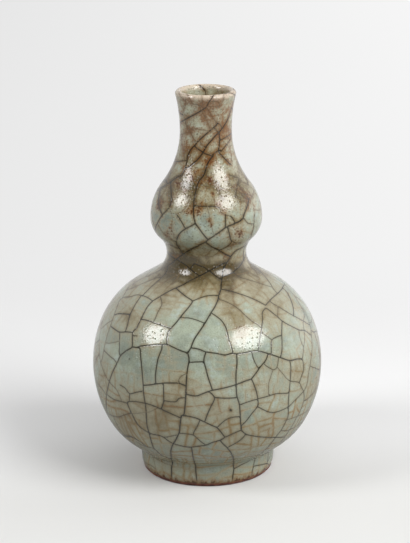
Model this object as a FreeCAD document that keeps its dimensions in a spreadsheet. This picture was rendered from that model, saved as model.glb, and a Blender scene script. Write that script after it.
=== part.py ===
"""Double gourd vase of crackle-glazed stoneware, in millimetres, +Z up.

The vase stands on its foot rim at the origin, its axis on Z. It is potted in sections that are luted
together with clay slip: a foot ring, the lower and the upper half of the large bulb, and the small bulb
with the neck. One thick glaze covers the outside up to the crest of the lip, a thinner one lines the
inside, a third fills the recess under the base, and a brown iron wash dresses the bare foot rim.

Each of the four forms below is a filled body of revolution. Their differences are the layers, and
cones and cylinders divide the clay where the sections meet.
"""

import FreeCAD, Part  # noqa: E401  this order keeps Part from loading first
import math
import os

import Sketcher

# how a sketch numbers its two axes and the points of an element; its origin is where its level axis starts
H_AXIS, V_AXIS = -1, -2
START, END, CENTRE = range(1, 4)

# name: (size, what it sets), in millimetres, or in degrees for an angle
SIZES = {
    "foot_rim_radius": (30.6, "outer radius of the glazed foot at the floor"),
    "foot_taper_angle": (4.5, "how far the foot wall leans outwards"),
    "foot_height": (9.5, "height where the foot wall runs into its fillet"),
    "foot_fillet": (2.4, "fillet between the foot wall and the underside"),
    "foot_wall": (4.4, "width of the clay foot ring at its rim"),
    "recess_corner": (2.0, "corner radius of the recess"),
    "base_level": (6.5, "height of the clay base over the recess"),
    "floor_thickness": (6.0, "thickness of the clay floor"),
    "floor_corner": (28.0, "radius between the floor and the wall inside"),
    "belly_level": (51.2, "height of the widest part of the large bulb"),
    "belly_radius": (53.2, "glazed radius of the large bulb"),
    "underbelly_share": (1.09, "curve under the belly as a share of the one arc that would reach the foot"),
    "heel_start_share": (0.526, "how far along that arc's turn the tighter heel curve starts"),
    "heel_share": (0.82, "heel curve radius as a share of the largest that fits"),
    "shoulder_angle": (21.5, "how far above level the shoulder curve leaves the belly"),
    "shoulder_share": (0.892, "shoulder curve radius as a share of the largest that fits"),
    "shoulder_rise": (53.1, "height of the waist above the belly"),
    "waist_radius": (18.3, "glazed radius of the waist"),
    "waist_curve": (9.7, "radius of the hollow curve under the waist"),
    "bulb_rise": (16.7, "height of the small bulb's widest part above the waist"),
    "bulb_radius": (25.6, "glazed radius of the small bulb"),
    "bulb_under_share": (0.53, "convex part of the curve from the small bulb to the waist"),
    "bulb_over_share": (0.388, "convex part of the curve from the small bulb to the neck"),
    "neck_rise": (40.8, "height of the throat above the small bulb's widest part"),
    "neck_radius": (11.8, "glazed radius of the throat"),
    "mouth_rise": (18.2, "height of the lip above the throat"),
    "mouth_flare": (2.0, "how far the lip stands out beyond the throat"),
    "lip_thickness": (2.9, "thickness of the glazed lip"),
    "lip_glaze": (0.7, "glaze over the crest of the lip"),
    "outer_glaze": (0.8, "thickness of the outer glaze"),
    "inner_glaze": (0.6, "thickness of the lining glaze and of the base glaze"),
    "belly_wall": (4.2, "clay wall of the large bulb"),
    "waist_wall": (3.6, "clay wall at the waist"),
    "bulb_wall": (3.2, "clay wall of the small bulb"),
    "neck_wall": (1.4, "clay wall of the neck"),
    "slip_thickness": (0.5, "clay slip in each luted joint"),
    "bevel_angle": (30.0, "slope of the bevelled joints"),
    "wash_thickness": (0.3, "iron wash on the foot rim, and the glaze's edge above it"),
    "wash_height": (1.7, "height of the iron wash, where the glaze begins"),
    "glaze_feather": (1.6, "height over which the glaze thins out above the wash"),
    "rim_chamfer": (0.5, "chamfer on both edges of the clay foot rim"),
    "overrun": (5.0, "how far a cutting form runs past what it cuts"),
}


class Size:
    """A length or angle that knows both its value and the spreadsheet expression it comes from."""

    def __init__(self, text, value):
        self.text = text
        self.value = value

    def combined(self, sign, other, value):
        other_text = other.text if isinstance(other, Size) else repr(other)
        return Size(f"({self.text} {sign} {other_text})", value)

    def __add__(self, other):
        return self.combined("+", other, self.value + plain(other))

    def __sub__(self, other):
        return self.combined("-", other, self.value - plain(other))

    def __mul__(self, other):
        return self.combined("*", other, self.value * plain(other))

    def __truediv__(self, other):
        return self.combined("/", other, self.value / plain(other))


def plain(size):
    return size.value if isinstance(size, Size) else size


def sine(angle):
    return Size(f"sin({angle.text})", math.sin(math.radians(angle.value)))


def cosine(angle):
    return Size(f"cos({angle.text})", math.cos(math.radians(angle.value)))


def square(size):
    return size * size


def arctangent(ratio):
    return Size(f"atan({ratio.text})", math.degrees(math.atan(ratio.value)))


NOTHING = Size("0", 0.0)
WHOLE = Size("1", 1.0)


def make_sheet(doc):
    """Writes the driving dimensions into the spreadsheet and returns them by name."""
    sheet = doc.addObject("Spreadsheet::Sheet", "Sizes")
    sizes = {}
    for row, (name, (value, note)) in enumerate(SIZES.items(), start=1):
        sheet.set(f"A{row}", name)
        sheet.set(f"B{row}", str(value))
        sheet.set(f"C{row}", note)
        sheet.setAlias(f"B{row}", name)
        sizes[name] = Size(f"Sizes.{name}", value)
    return sizes


class Profile:
    """A closed half-section in a sketch, drawn as one chain of lines and arcs that meet end to end.

    Every element is drawn where it belongs and then tied down: smooth joints by tangency, and
    sizes by constraints that read the spreadsheet.
    """

    def __init__(self, doc, label):
        self.body = doc.addObject("PartDesign::Body", label)
        self.body.Label = label
        self.sketch = self.body.newObject("Sketcher::SketchObject", label + "_sketch")
        plane = next(f for f in self.body.Origin.OriginFeatures if f.Role == "XZ_Plane")
        self.sketch.AttachmentSupport = [(plane, "")]
        self.sketch.MapMode = "FlatFace"
        self.pen = None
        self.first = None
        self.last = None

    def begin(self, radius, level):
        self.pen = (radius, level)

    def joined(self, element, near, far, point, smooth):
        """Ties a new element to the one before it and moves the pen to its far end."""
        if self.last is None:
            self.first = (element, near)
        else:
            kind = "Tangent" if smooth else "Coincident"
            self.add(Sketcher.Constraint(kind, self.last[0], self.last[1], element, near))
        self.last = (element, far)
        self.pen = point
        return element

    def line(self, radius, level, smooth=False):
        start = FreeCAD.Vector(self.pen[0], self.pen[1], 0)
        end = FreeCAD.Vector(radius, level, 0)
        element = self.sketch.addGeometry(Part.LineSegment(start, end), False)
        return self.joined(element, START, END, (radius, level), smooth)

    def arc(self, centre, radius, level, clockwise, smooth=True):
        reach = math.hypot(self.pen[0] - centre[0], self.pen[1] - centre[1])
        here = math.atan2(self.pen[1] - centre[1], self.pen[0] - centre[0])
        there = math.atan2(level - centre[1], radius - centre[0])
        first, last = (there, here) if clockwise else (here, there)
        if last < first:
            last += 2 * math.pi
        circle = Part.Circle(FreeCAD.Vector(centre[0], centre[1], 0), FreeCAD.Vector(0, 0, 1), reach)
        element = self.sketch.addGeometry(Part.ArcOfCircle(circle, first, last), False)
        near, far = (END, START) if clockwise else (START, END)
        return self.joined(element, near, far, (radius, level), smooth)

    def close(self):
        """Draws the stretch of the axis back to where the chain began."""
        start = self.sketch.getPoint(self.first[0], self.first[1])
        element = self.line(start.x, start.y)
        self.add(Sketcher.Constraint("Coincident", element, END, self.first[0], self.first[1]))
        return element

    def add(self, constraint):
        return self.sketch.addConstraint(constraint)

    def bind(self, constraint, name, size):
        """Adds a dimension and binds it to the spreadsheet."""
        index = self.add(constraint)
        self.sketch.renameConstraint(index, name)
        self.sketch.setExpression("Constraints." + name, size.text)

    def at_radius(self, name, element, point, size):
        self.bind(Sketcher.Constraint("DistanceX", H_AXIS, START, element, point, size.value), name, size)

    def at_level(self, name, element, point, size):
        self.bind(Sketcher.Constraint("DistanceY", H_AXIS, START, element, point, size.value), name, size)

    def curve(self, name, element, size):
        self.bind(Sketcher.Constraint("Radius", element, size.value), name, size)

    def on_axis(self, element, point):
        self.add(Sketcher.Constraint("PointOnObject", element, point, V_AXIS))

    def level_line(self, element):
        self.add(Sketcher.Constraint("Horizontal", element))

    def upright_at(self, element, point):
        """Keeps an arc vertical where it ends, by holding its centre level with that end."""
        self.add(Sketcher.Constraint("Horizontal", element, CENTRE, element, point))

    def revolve(self, doc):
        """Turns the half-section about the vase's axis."""
        doc.recompute()
        turned = self.body.newObject("PartDesign::Revolution", self.body.Name + "_turned")
        turned.Profile = self.sketch
        turned.ReferenceAxis = (self.sketch, ["V_Axis"])
        turned.Angle = 360.0
        self.body.Tip = turned
        doc.recompute()
        return self.body


def inner_tangent(centre_a, radius_a, centre_b, radius_b, side):
    """Ends of the straight line that crosses between two circles and touches both.

    side is +1 if the line passes circle a with the circle on its left, and -1 on its right.
    """
    across = (centre_b[0] - centre_a[0], centre_b[1] - centre_a[1])
    distance = math.hypot(*across)
    heading = math.atan2(across[1], across[0])
    swing = side * math.acos((radius_a + radius_b) / distance)
    reach = (math.cos(heading + swing), math.sin(heading + swing))
    touch_a = (centre_a[0] + radius_a * reach[0], centre_a[1] + radius_a * reach[1])
    touch_b = (centre_b[0] - radius_b * reach[0], centre_b[1] - radius_b * reach[1])
    return touch_a, touch_b


def between(point, other, share):
    return (point[0] + (other[0] - point[0]) * share, point[1] + (other[1] - point[1]) * share)


def coats(s):
    """Depth of each form under the glazed surface, at each part of the vase."""
    parts = ("neck", "bulb", "waist", "belly")
    clay_outer = {part: s["outer_glaze"] for part in parts}
    clay_inner = {part: s["outer_glaze"] + s[part + "_wall"] for part in parts}
    lining = {part: clay_inner[part] + s["inner_glaze"] for part in parts}
    return clay_outer, clay_inner, lining


def bend_that_fits(start, slope, corner, corner_radius):
    """Largest arc that leaves a point of the belly and just touches a corner's circle.

    slope is the outward direction of the belly at that point. Both are pairs of sizes.
    """
    offset = (start[0] - corner[0], start[1] - corner[1])
    lean = offset[0] * slope[0] + offset[1] * slope[1] + corner_radius
    return (square(offset[0]) + square(offset[1]) - square(corner_radius)) / (lean * 2)


def foot_corner(s, depth):
    """Centre of the fillet over the foot and the point where it meets the foot wall."""
    taper = s["foot_taper_angle"]
    wall_run = sine(taper) / cosine(taper)
    meet = (s["foot_rim_radius"] + s["foot_height"] * wall_run - depth / cosine(taper), s["foot_height"])
    curve = s["foot_fillet"] + depth
    return (meet[0] + curve * cosine(taper), meet[1] - curve * sine(taper)), meet


class Derived:
    """Holds the sizes that follow from the driving ones, each under its own name."""

    def __init__(self, doc, sizes):
        self.holder = doc.addObject("App::FeaturePython", "Derived")
        self.sizes = sizes

    def keep(self, name, size):
        self.holder.addProperty("App::PropertyFloat", name)
        self.holder.setExpression(name, size.text)
        self.sizes[name] = Size(f"Derived.{name}", size.value)
        return self.sizes[name]


def derive_sizes(doc, s):
    """Works out the heights, the lip's centre and the curves above and below the belly."""
    derived = Derived(doc, s)
    waist = derived.keep("waist_level", s["belly_level"] + s["shoulder_rise"])
    bulb = derived.keep("bulb_level", waist + s["bulb_rise"])
    throat = derived.keep("throat_level", bulb + s["neck_rise"])
    mouth = derived.keep("mouth_level", throat + s["mouth_rise"])
    derived.keep("lip_radius", s["neck_radius"] + s["mouth_flare"] - s["lip_thickness"] / 2)
    derived.keep("lip_level", mouth - s["lip_thickness"] / 2)

    # the shoulder leaves the belly, which is round about the axis there, and meets the waist's hollow curve
    angle = s["shoulder_angle"]
    slope = (cosine(angle), sine(angle))
    start = (s["belly_radius"] * slope[0], s["belly_level"] + s["belly_radius"] * slope[1])
    hollow = (s["waist_radius"] + s["waist_curve"], waist)
    most = bend_that_fits(start, slope, hollow, s["waist_curve"])
    derived.keep("shoulder_curve", most * s["shoulder_share"])

    # below its widest part the belly runs down in two arcs to the fillet over the foot
    corner, _ = foot_corner(s, NOTHING)
    corner = (derived.keep("foot_corner_radius", corner[0]), derived.keep("foot_corner_level", corner[1]))
    widest = (s["belly_radius"], s["belly_level"])
    one_arc = derived.keep("one_arc", bend_that_fits(widest, (WHOLE, NOTHING), corner, s["foot_fillet"]))
    under = derived.keep("underbelly_curve", one_arc * s["underbelly_share"])
    turn = arctangent((s["belly_level"] - corner[1]) / (corner[0] + one_arc - s["belly_radius"]))
    angle = derived.keep("heel_angle", turn * s["heel_start_share"])
    slope = (cosine(angle), NOTHING - sine(angle))
    start = (s["belly_radius"] - under + under * slope[0], s["belly_level"] + under * slope[1])
    start = (derived.keep("heel_start_radius", start[0]), derived.keep("heel_start_level", start[1]))
    most = bend_that_fits(start, slope, corner, s["foot_fillet"])
    derived.keep("heel_curve", most * s["heel_share"])


def blend(share, rise, run, depth):
    """Radius of the convex arc in the S-curve between two upright places."""
    return (square(run) + square(rise)) / (run * 2) * share - depth


def draw_upper_outline(profile, s, depth, lip_reach, inside):
    """Draws the crest, lip, neck, small bulb, waist, shoulder and belly, down to its widest part.

    depth holds the distance under the glazed surface at each part, and lip_reach is the radius of
    the lip's round, which the outline leaves outwards, or inwards if inside is true.
    """
    neck_r = s["neck_radius"] - depth["neck"]
    bulb_r = s["bulb_radius"] - depth["bulb"]
    waist_r = s["waist_radius"] - depth["waist"]
    lip = (s["lip_radius"].value, s["lip_level"].value)
    throat = (neck_r.value, s["throat_level"].value)
    bulb = (bulb_r.value, s["bulb_level"].value)
    waist = (waist_r.value, s["waist_level"].value)

    # flat top from the axis to the crest of the lip
    crest_level = s["lip_level"] + lip_reach
    profile.begin(0.0, crest_level.value)
    top = profile.line(lip[0], crest_level.value)
    profile.level_line(top)
    profile.on_axis(top, START)
    profile.at_level("crest_level", top, END, crest_level)
    profile.at_radius("crest_radius", top, END, s["lip_radius"])

    # lip and flare: the flare's radius follows from touching the lip's round
    side = 1 if inside else -1
    back = throat[0] - lip[0]
    drop = lip[1] - throat[1]
    flare = (back**2 + drop**2 - lip_reach.value**2) / (-2 * (back + side * lip_reach.value))
    flare_centre = (throat[0] + flare, throat[1])
    touch = between(lip, flare_centre, -side * lip_reach.value / math.hypot(flare_centre[0] - lip[0], drop))
    lip_arc = profile.arc(lip, touch[0], touch[1], clockwise=not inside)
    profile.curve("lip_curve", lip_arc, lip_reach)
    flare_arc = profile.arc(flare_centre, throat[0], throat[1], clockwise=False)
    profile.at_radius("throat_radius", flare_arc, END, neck_r)
    profile.at_level("throat_level", flare_arc, END, s["throat_level"])
    profile.upright_at(flare_arc, END)

    # neck and upper side of the small bulb
    over = blend(s["bulb_over_share"], s["neck_rise"], bulb_r - neck_r, depth["bulb"])
    chord = math.hypot(bulb[0] - throat[0], throat[1] - bulb[1])
    both = chord**2 / (2 * (bulb[0] - throat[0]))
    meet = between(bulb, throat, over.value / both)
    profile.arc((throat[0] + both - over.value, throat[1]), meet[0], meet[1], clockwise=False)
    over_arc = profile.arc((bulb[0] - over.value, bulb[1]), bulb[0], bulb[1], clockwise=True)
    profile.curve("bulb_over_curve", over_arc, over)
    profile.at_radius("bulb_radius", over_arc, START, bulb_r)
    profile.at_level("bulb_level", over_arc, START, s["bulb_level"])
    profile.upright_at(over_arc, START)

    # underside of the small bulb and the waist
    under = blend(s["bulb_under_share"], s["bulb_rise"], bulb_r - waist_r, depth["bulb"])
    chord = math.hypot(bulb[0] - waist[0], bulb[1] - waist[1])
    both = chord**2 / (2 * (bulb[0] - waist[0]))
    meet = between(bulb, waist, under.value / both)
    under_arc = profile.arc((bulb[0] - under.value, bulb[1]), meet[0], meet[1], clockwise=True)
    profile.curve("bulb_under_curve", under_arc, under)
    hollow = profile.arc((waist[0] + both - under.value, waist[1]), waist[0], waist[1], clockwise=False)
    profile.at_radius("waist_radius", hollow, END, waist_r)
    profile.at_level("waist_level", hollow, END, s["waist_level"])
    profile.upright_at(hollow, END)

    # waist, straight shoulder slope, shoulder curve, belly
    waist_bend = s["waist_curve"] + depth["waist"]
    shoulder = s["shoulder_curve"] - depth["belly"]
    belly_r = s["belly_radius"] - depth["belly"]
    angle = math.radians(s["shoulder_angle"].value)
    slope = (math.cos(angle), math.sin(angle))
    bend_centre = (waist[0] + waist_bend.value, waist[1])
    gap = belly_r.value - shoulder.value
    belly_level = s["belly_level"].value
    shoulder_centre = (gap * slope[0], belly_level + gap * slope[1])
    low, high = inner_tangent(shoulder_centre, shoulder.value, bend_centre, waist_bend.value, -1)
    bend_arc = profile.arc(bend_centre, high[0], high[1], clockwise=False)
    profile.curve("waist_curve", bend_arc, waist_bend)
    profile.line(low[0], low[1], smooth=True)
    leave = (belly_r.value * slope[0], belly_level + belly_r.value * slope[1])
    shoulder_arc = profile.arc(shoulder_centre, leave[0], leave[1], clockwise=True)
    profile.curve("shoulder_curve", shoulder_arc, shoulder)
    start_level = s["belly_level"] + belly_r * sine(s["shoulder_angle"])
    profile.at_level("shoulder_level", shoulder_arc, START, start_level)
    belly_arc = profile.arc((0.0, belly_level), belly_r.value, belly_level, clockwise=True)
    profile.on_axis(belly_arc, CENTRE)
    profile.at_radius("belly_radius", belly_arc, START, belly_r)
    profile.at_level("belly_level", belly_arc, START, s["belly_level"])
    profile.upright_at(belly_arc, START)
    return belly_r


def outer_form(doc, label, s, depth, lip_reach, foot):
    """A filled form bounded by an outside surface. foot(profile) draws it below the foot wall's fillet."""
    profile = Profile(doc, label)
    belly_r = draw_upper_outline(profile, s, depth, lip_reach, inside=False)

    angle = math.radians(s["heel_angle"].value)
    slope = (math.cos(angle), -math.sin(angle))
    under = s["underbelly_curve"] - depth["belly"]
    heel = s["heel_curve"] - depth["belly"]
    under_centre = (belly_r.value - under.value, s["belly_level"].value)
    leave = (under_centre[0] + under.value * slope[0], under_centre[1] + under.value * slope[1])
    heel_centre = (leave[0] - heel.value * slope[0], leave[1] - heel.value * slope[1])
    fillet = s["foot_fillet"] + depth["belly"]
    corner, meet = foot_corner(s, depth["belly"])
    corner_centre = (corner[0].value, corner[1].value)
    high, low = inner_tangent(heel_centre, heel.value, corner_centre, fillet.value, 1)

    under_arc = profile.arc(under_centre, leave[0], leave[1], clockwise=True)
    profile.curve("underbelly_curve", under_arc, under)
    leave_level = s["belly_level"] - under * sine(s["heel_angle"])
    profile.at_level("heel_level", under_arc, START, leave_level)
    heel_arc = profile.arc(heel_centre, high[0], high[1], clockwise=True)
    profile.curve("heel_curve", heel_arc, heel)
    profile.line(low[0], low[1], smooth=True)
    fillet_arc = profile.arc(corner_centre, meet[0].value, meet[1].value, clockwise=False)
    profile.curve("foot_fillet", fillet_arc, fillet)
    profile.at_radius("foot_radius", fillet_arc, END, meet[0])
    profile.at_level("foot_level", fillet_arc, END, s["foot_height"])
    foot(profile)
    profile.close()
    return profile.revolve(doc)


def wall_radius(s, depth, height):
    """Radius of the foot wall at a height, at some depth under its glazed surface."""
    taper = s["foot_taper_angle"]
    return s["foot_rim_radius"] + height * sine(taper) / cosine(taper) - depth / cosine(taper)


def glazed_foot(s):
    """Foot of the glazed form: the wall, then the glaze thinning out down to the wash."""

    def draw(profile):
        full = s["wash_height"] + s["glaze_feather"]
        wall_end = wall_radius(s, NOTHING, full)
        edge = wall_radius(s, s["outer_glaze"] - s["wash_thickness"], s["wash_height"])
        wall = profile.line(wall_end.value, full.value, smooth=True)
        profile.at_radius("wall_end_radius", wall, END, wall_end)
        profile.at_level("wall_end_level", wall, END, full)
        feather = profile.line(edge.value, s["wash_height"].value)
        profile.at_radius("edge_radius", feather, END, edge)
        profile.at_level("edge_level", feather, END, s["wash_height"])
        bottom = profile.line(0.0, s["wash_height"].value)
        profile.level_line(bottom)
        profile.on_axis(bottom, END)

    return draw


def clay_foot(s):
    """Foot of the clay form: the wall and the chamfered rim, which stands above the floor by the wash."""

    def draw(profile):
        chamfer_top = s["wash_thickness"] + s["rim_chamfer"]
        wall_end = wall_radius(s, s["outer_glaze"], chamfer_top)
        rim = wall_end - s["rim_chamfer"]
        wall = profile.line(wall_end.value, chamfer_top.value, smooth=True)
        profile.at_radius("wall_end_radius", wall, END, wall_end)
        profile.at_level("wall_end_level", wall, END, chamfer_top)
        chamfer = profile.line(rim.value, s["wash_thickness"].value)
        profile.at_radius("rim_radius", chamfer, END, rim)
        profile.at_level("rim_level", chamfer, END, s["wash_thickness"])
        bottom = profile.line(0.0, s["wash_thickness"].value)
        profile.level_line(bottom)
        profile.on_axis(bottom, END)

    return draw


def inner_form(doc, label, s, depth, lip_reach, floor_level):
    """A filled form of the cavity, down to a flat floor with a rounded corner."""
    profile = Profile(doc, label)
    belly_r = draw_upper_outline(profile, s, depth, lip_reach, inside=True)

    under = s["underbelly_curve"] - depth["belly"]
    corner = s["floor_corner"].value
    under_centre = (belly_r.value - under.value, s["belly_level"].value)
    drop = under_centre[1] - floor_level.value - corner
    reach = under.value - corner
    corner_centre = (under_centre[0] + math.sqrt(reach**2 - drop**2), floor_level.value + corner)
    leave = between(under_centre, corner_centre, under.value / reach)

    under_arc = profile.arc(under_centre, leave[0], leave[1], clockwise=True)
    profile.curve("underbelly_curve", under_arc, under)
    corner_arc = profile.arc(corner_centre, corner_centre[0], floor_level.value, clockwise=True)
    profile.curve("floor_corner", corner_arc, s["floor_corner"])
    floor = profile.line(0.0, floor_level.value, smooth=True)
    profile.level_line(floor)
    profile.on_axis(floor, END)
    profile.at_level("floor_level", floor, END, floor_level)
    profile.close()
    return profile.revolve(doc)


def recess_radius(s):
    """Inner radius of the clay foot ring."""
    return wall_radius(s, s["outer_glaze"], s["wash_thickness"]) - s["foot_wall"]


def recess_form(doc, label, s, depth):
    """The hollow under the base, shrunk by depth where the base glaze lines it.

    Its mouth widens with the chamfer on the foot rim.
    """
    radius = recess_radius(s) - depth
    ceiling = s["base_level"] - depth
    chamfer_top = s["wash_thickness"] + s["rim_chamfer"]
    mouth = NOTHING - s["overrun"]
    corner = s["recess_corner"].value
    profile = Profile(doc, label)
    profile.begin(0.0, ceiling.value)
    top = profile.line(radius.value - corner, ceiling.value)
    profile.level_line(top)
    profile.on_axis(top, START)
    profile.at_level("ceiling_level", top, START, ceiling)
    round_centre = (radius.value - corner, ceiling.value - corner)
    round_arc = profile.arc(round_centre, radius.value, round_centre[1], clockwise=True)
    profile.curve("recess_corner", round_arc, s["recess_corner"])
    wall = profile.line(radius.value, chamfer_top.value, smooth=True)
    profile.add(Sketcher.Constraint("Vertical", wall))
    profile.at_radius("recess_radius", wall, END, radius)
    profile.at_level("wall_level", wall, END, chamfer_top)
    mouth_radius = radius + chamfer_top - mouth
    chamfer = profile.line(mouth_radius.value, mouth.value)
    profile.at_radius("mouth_radius", chamfer, END, mouth_radius)
    profile.at_level("mouth_level", chamfer, END, mouth)
    bottom = profile.line(0.0, mouth.value)
    profile.level_line(bottom)
    profile.on_axis(bottom, END)
    profile.close()
    return profile.revolve(doc)


def wash_form(doc, label, s):
    """The clay foot rim grown by the wash on its sides, its underside and its chamfers."""
    wash = s["wash_thickness"]
    height = s["wash_height"]
    inner = recess_radius(s) - wash
    skin = s["outer_glaze"] - wash
    chamfer_top = wash + s["rim_chamfer"]
    corners = {
        "inner_top": (inner, height),
        "outer_top": (wall_radius(s, skin, height), height),
        "outer_chamfer": (wall_radius(s, skin, chamfer_top), chamfer_top),
        "outer_rim": (wall_radius(s, skin, chamfer_top) - chamfer_top, NOTHING),
        "inner_rim": (inner + chamfer_top, NOTHING),
        "inner_chamfer": (inner, chamfer_top),
    }
    profile = Profile(doc, label)
    first_radius, first_level = corners["inner_top"]
    profile.begin(first_radius.value, first_level.value)
    names = list(corners)
    for name in names[1:]:
        radius, level = corners[name]
        side = profile.line(radius.value, level.value)
        profile.at_radius(name + "_radius", side, END, radius)
        if level is NOTHING:
            profile.add(Sketcher.Constraint("PointOnObject", side, END, H_AXIS))
        else:
            profile.at_level(name + "_level", side, END, level)
    last = profile.close()
    profile.at_radius("inner_top_radius", last, END, first_radius)
    profile.at_level("inner_top_level", last, END, first_level)
    return profile.revolve(doc)


def mass_below(doc, label, s, radius, level, sloped):
    """Everything below a joint that crosses the wall at a radius and a level.

    A sloped joint is a bevel that rises towards the axis. Outside the wall it ends in a level shelf.
    """
    edge = radius + s["overrun"]
    far = s["belly_radius"] + s["overrun"] * 2
    bevel = sine(s["bevel_angle"]) / cosine(s["bevel_angle"])
    drop = s["overrun"] * bevel if sloped else NOTHING
    rise = radius * bevel if sloped else NOTHING
    bottom = NOTHING - s["overrun"]
    profile = Profile(doc, label)
    profile.begin(0.0, bottom.value)
    base = profile.line(far.value, bottom.value)
    profile.on_axis(base, START)
    profile.at_level("bottom_level", base, START, bottom)
    profile.level_line(base)
    side = profile.line(far.value, level.value - drop.value)
    profile.add(Sketcher.Constraint("Vertical", side))
    profile.at_radius("far_radius", side, END, far)
    profile.at_level("far_level", side, END, level - drop)
    shelf = profile.line(edge.value, level.value - drop.value)
    profile.level_line(shelf)
    profile.at_radius("edge_radius", shelf, END, edge)
    bevel_line = profile.line(0.0, level.value + rise.value)
    profile.on_axis(bevel_line, END)
    profile.at_level("peak_level", bevel_line, END, level + rise)
    profile.close()
    return profile.revolve(doc)


def joined_by(doc, kind, label, base, tool):
    """A boolean of two objects."""
    made = doc.addObject("Part::" + kind, label)
    made.Label = label
    made.Base = base
    made.Tool = tool
    return made


def cylinder(doc, label, radius, level, height):
    """An upright cylinder on the axis."""
    made = doc.addObject("Part::Cylinder", label)
    made.setExpression("Radius", radius.text)
    made.setExpression("Height", height.text)
    made.setExpression("Placement.Base.z", level.text)
    return made


def make_clay(doc, s, form, cavity, recess):
    """The four clay sections and the slip between each and the next."""
    whole = joined_by(doc, "Cut", "hollow_clay", form, cavity)
    rest = joined_by(doc, "Cut", "footed_clay", whole, recess)
    slip = s["slip_thickness"]
    sloped_slip = slip / cosine(s["bevel_angle"])
    joints = (
        ("foot_ring", "foot_seam_slip", s["foot_rim_radius"], s["base_level"], slip, False),
        ("lower_bulb_base", "belly_seam_slip", s["belly_radius"], s["belly_level"], sloped_slip, True),
        ("lower_bulb_shoulder", "waist_seam_slip", s["waist_radius"], s["waist_level"], sloped_slip, True),
    )
    pieces = {}
    for piece, seam, radius, top, thickness, sloped in joints:
        under = mass_below(doc, "under_" + seam, s, radius, top - thickness, sloped)
        over = mass_below(doc, "over_" + seam, s, radius, top, sloped)
        pieces[piece] = joined_by(doc, "Common", piece, rest, under)
        above = joined_by(doc, "Cut", "above_" + piece, rest, under)
        pieces[seam] = joined_by(doc, "Common", seam, above, over)
        rest = joined_by(doc, "Cut", "above_" + seam, above, over)
    rest.Label = "upper_bulb_neck"
    pieces["upper_bulb_neck"] = rest
    return pieces


def make_glazes(doc, s, forms, recess):
    """The glaze on the outside, the glaze that lines the inside and the one under the base."""
    disc_level = s["mouth_level"] - s["lip_glaze"]
    mouth_disc = cylinder(doc, "mouth_disc", s["lip_radius"], disc_level, s["lip_glaze"])
    skin = joined_by(doc, "Cut", "glaze_skin", forms["glaze"], forms["clay"])
    outer = joined_by(doc, "Cut", "outer_glaze", skin, mouth_disc)
    plug = joined_by(doc, "Fuse", "lined_cavity", forms["cavity"], mouth_disc)
    inner = joined_by(doc, "Cut", "inner_glaze", plug, forms["lining"])
    span = s["base_level"] - s["wash_height"] + s["overrun"]
    zone = cylinder(doc, "base_glaze_zone", s["foot_rim_radius"], s["wash_height"], span)
    glazed_recess = recess_form(doc, "glazed_recess", s, s["inner_glaze"])
    filled = joined_by(doc, "Common", "filled_recess", recess, zone)
    base = joined_by(doc, "Cut", "base_glaze", filled, glazed_recess)
    return {"outer_glaze": outer, "inner_glaze": inner, "base_glaze": base}


def make_vase(doc):
    """Builds every piece and returns them by name."""
    s = make_sheet(doc)
    doc.recompute()
    derive_sizes(doc, s)
    doc.recompute()
    bare = {part: NOTHING for part in ("neck", "bulb", "waist", "belly")}
    clay_outer, clay_inner, lining = coats(s)
    glazed_lip = s["lip_thickness"] / 2
    clay_lip = glazed_lip - s["lip_glaze"]
    floor = s["base_level"] + s["floor_thickness"]
    forms = {
        "glaze": outer_form(doc, "glaze_form", s, bare, glazed_lip, glazed_foot(s)),
        "clay": outer_form(doc, "clay_form", s, clay_outer, clay_lip, clay_foot(s)),
        "cavity": inner_form(doc, "cavity_form", s, clay_inner, clay_lip, floor),
        "lining": inner_form(doc, "lining_form", s, lining, glazed_lip, floor + s["inner_glaze"]),
    }
    recess = recess_form(doc, "recess_form", s, NOTHING)
    pieces = make_clay(doc, s, forms["clay"], forms["cavity"], recess)
    pieces.update(make_glazes(doc, s, forms, recess))
    wash = wash_form(doc, "wash_form", s)
    pieces["foot_rim_wash"] = joined_by(doc, "Cut", "foot_rim_wash", wash, pieces["foot_ring"])
    doc.recompute()
    return pieces


def check(doc, pieces):
    """Stops unless every object recomputed and every piece is one valid solid."""
    for item in doc.Objects:
        if "Invalid" in item.State or "Error" in item.State:
            raise RuntimeError(f"{item.Label} did not recompute: {item.State}")
    for name, piece in pieces.items():
        shape = piece.Shape
        if shape.isNull() or not shape.isValid():
            raise RuntimeError(f"{name} has no valid shape")
        if len(shape.Solids) != 1:
            raise RuntimeError(f"{name} has {len(shape.Solids)} solids, not 1")
        box = shape.optimalBoundingBox()
        print(f"{name}: {shape.Volume:.0f} mm3, {box.ZMin:.2f} to {box.ZMax:.2f} mm high")


def main():
    doc = FreeCAD.newDocument("double_gourd_vase")
    pieces = make_vase(doc)
    check(doc, pieces)
    os.makedirs("parts", exist_ok=True)
    for name, piece in pieces.items():
        piece.Shape.exportStep(f"parts/{name}.step")


main()
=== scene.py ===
"""Double gourd vase of crackle-glazed stoneware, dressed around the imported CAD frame.

The CAD clay stays as it is, inside. What shows is made here: the crackled glaze outside, the glaze that
lines the mouth and the bulbs, the glaze under the base, and the iron wash on the foot rim. Each glaze is
a closed skin whose triangles follow its cracks, so a crack stays a sharp line at any distance. The
cracks in front follow the photograph. The others are grown, each from an older crack to the next one.
"""

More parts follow.
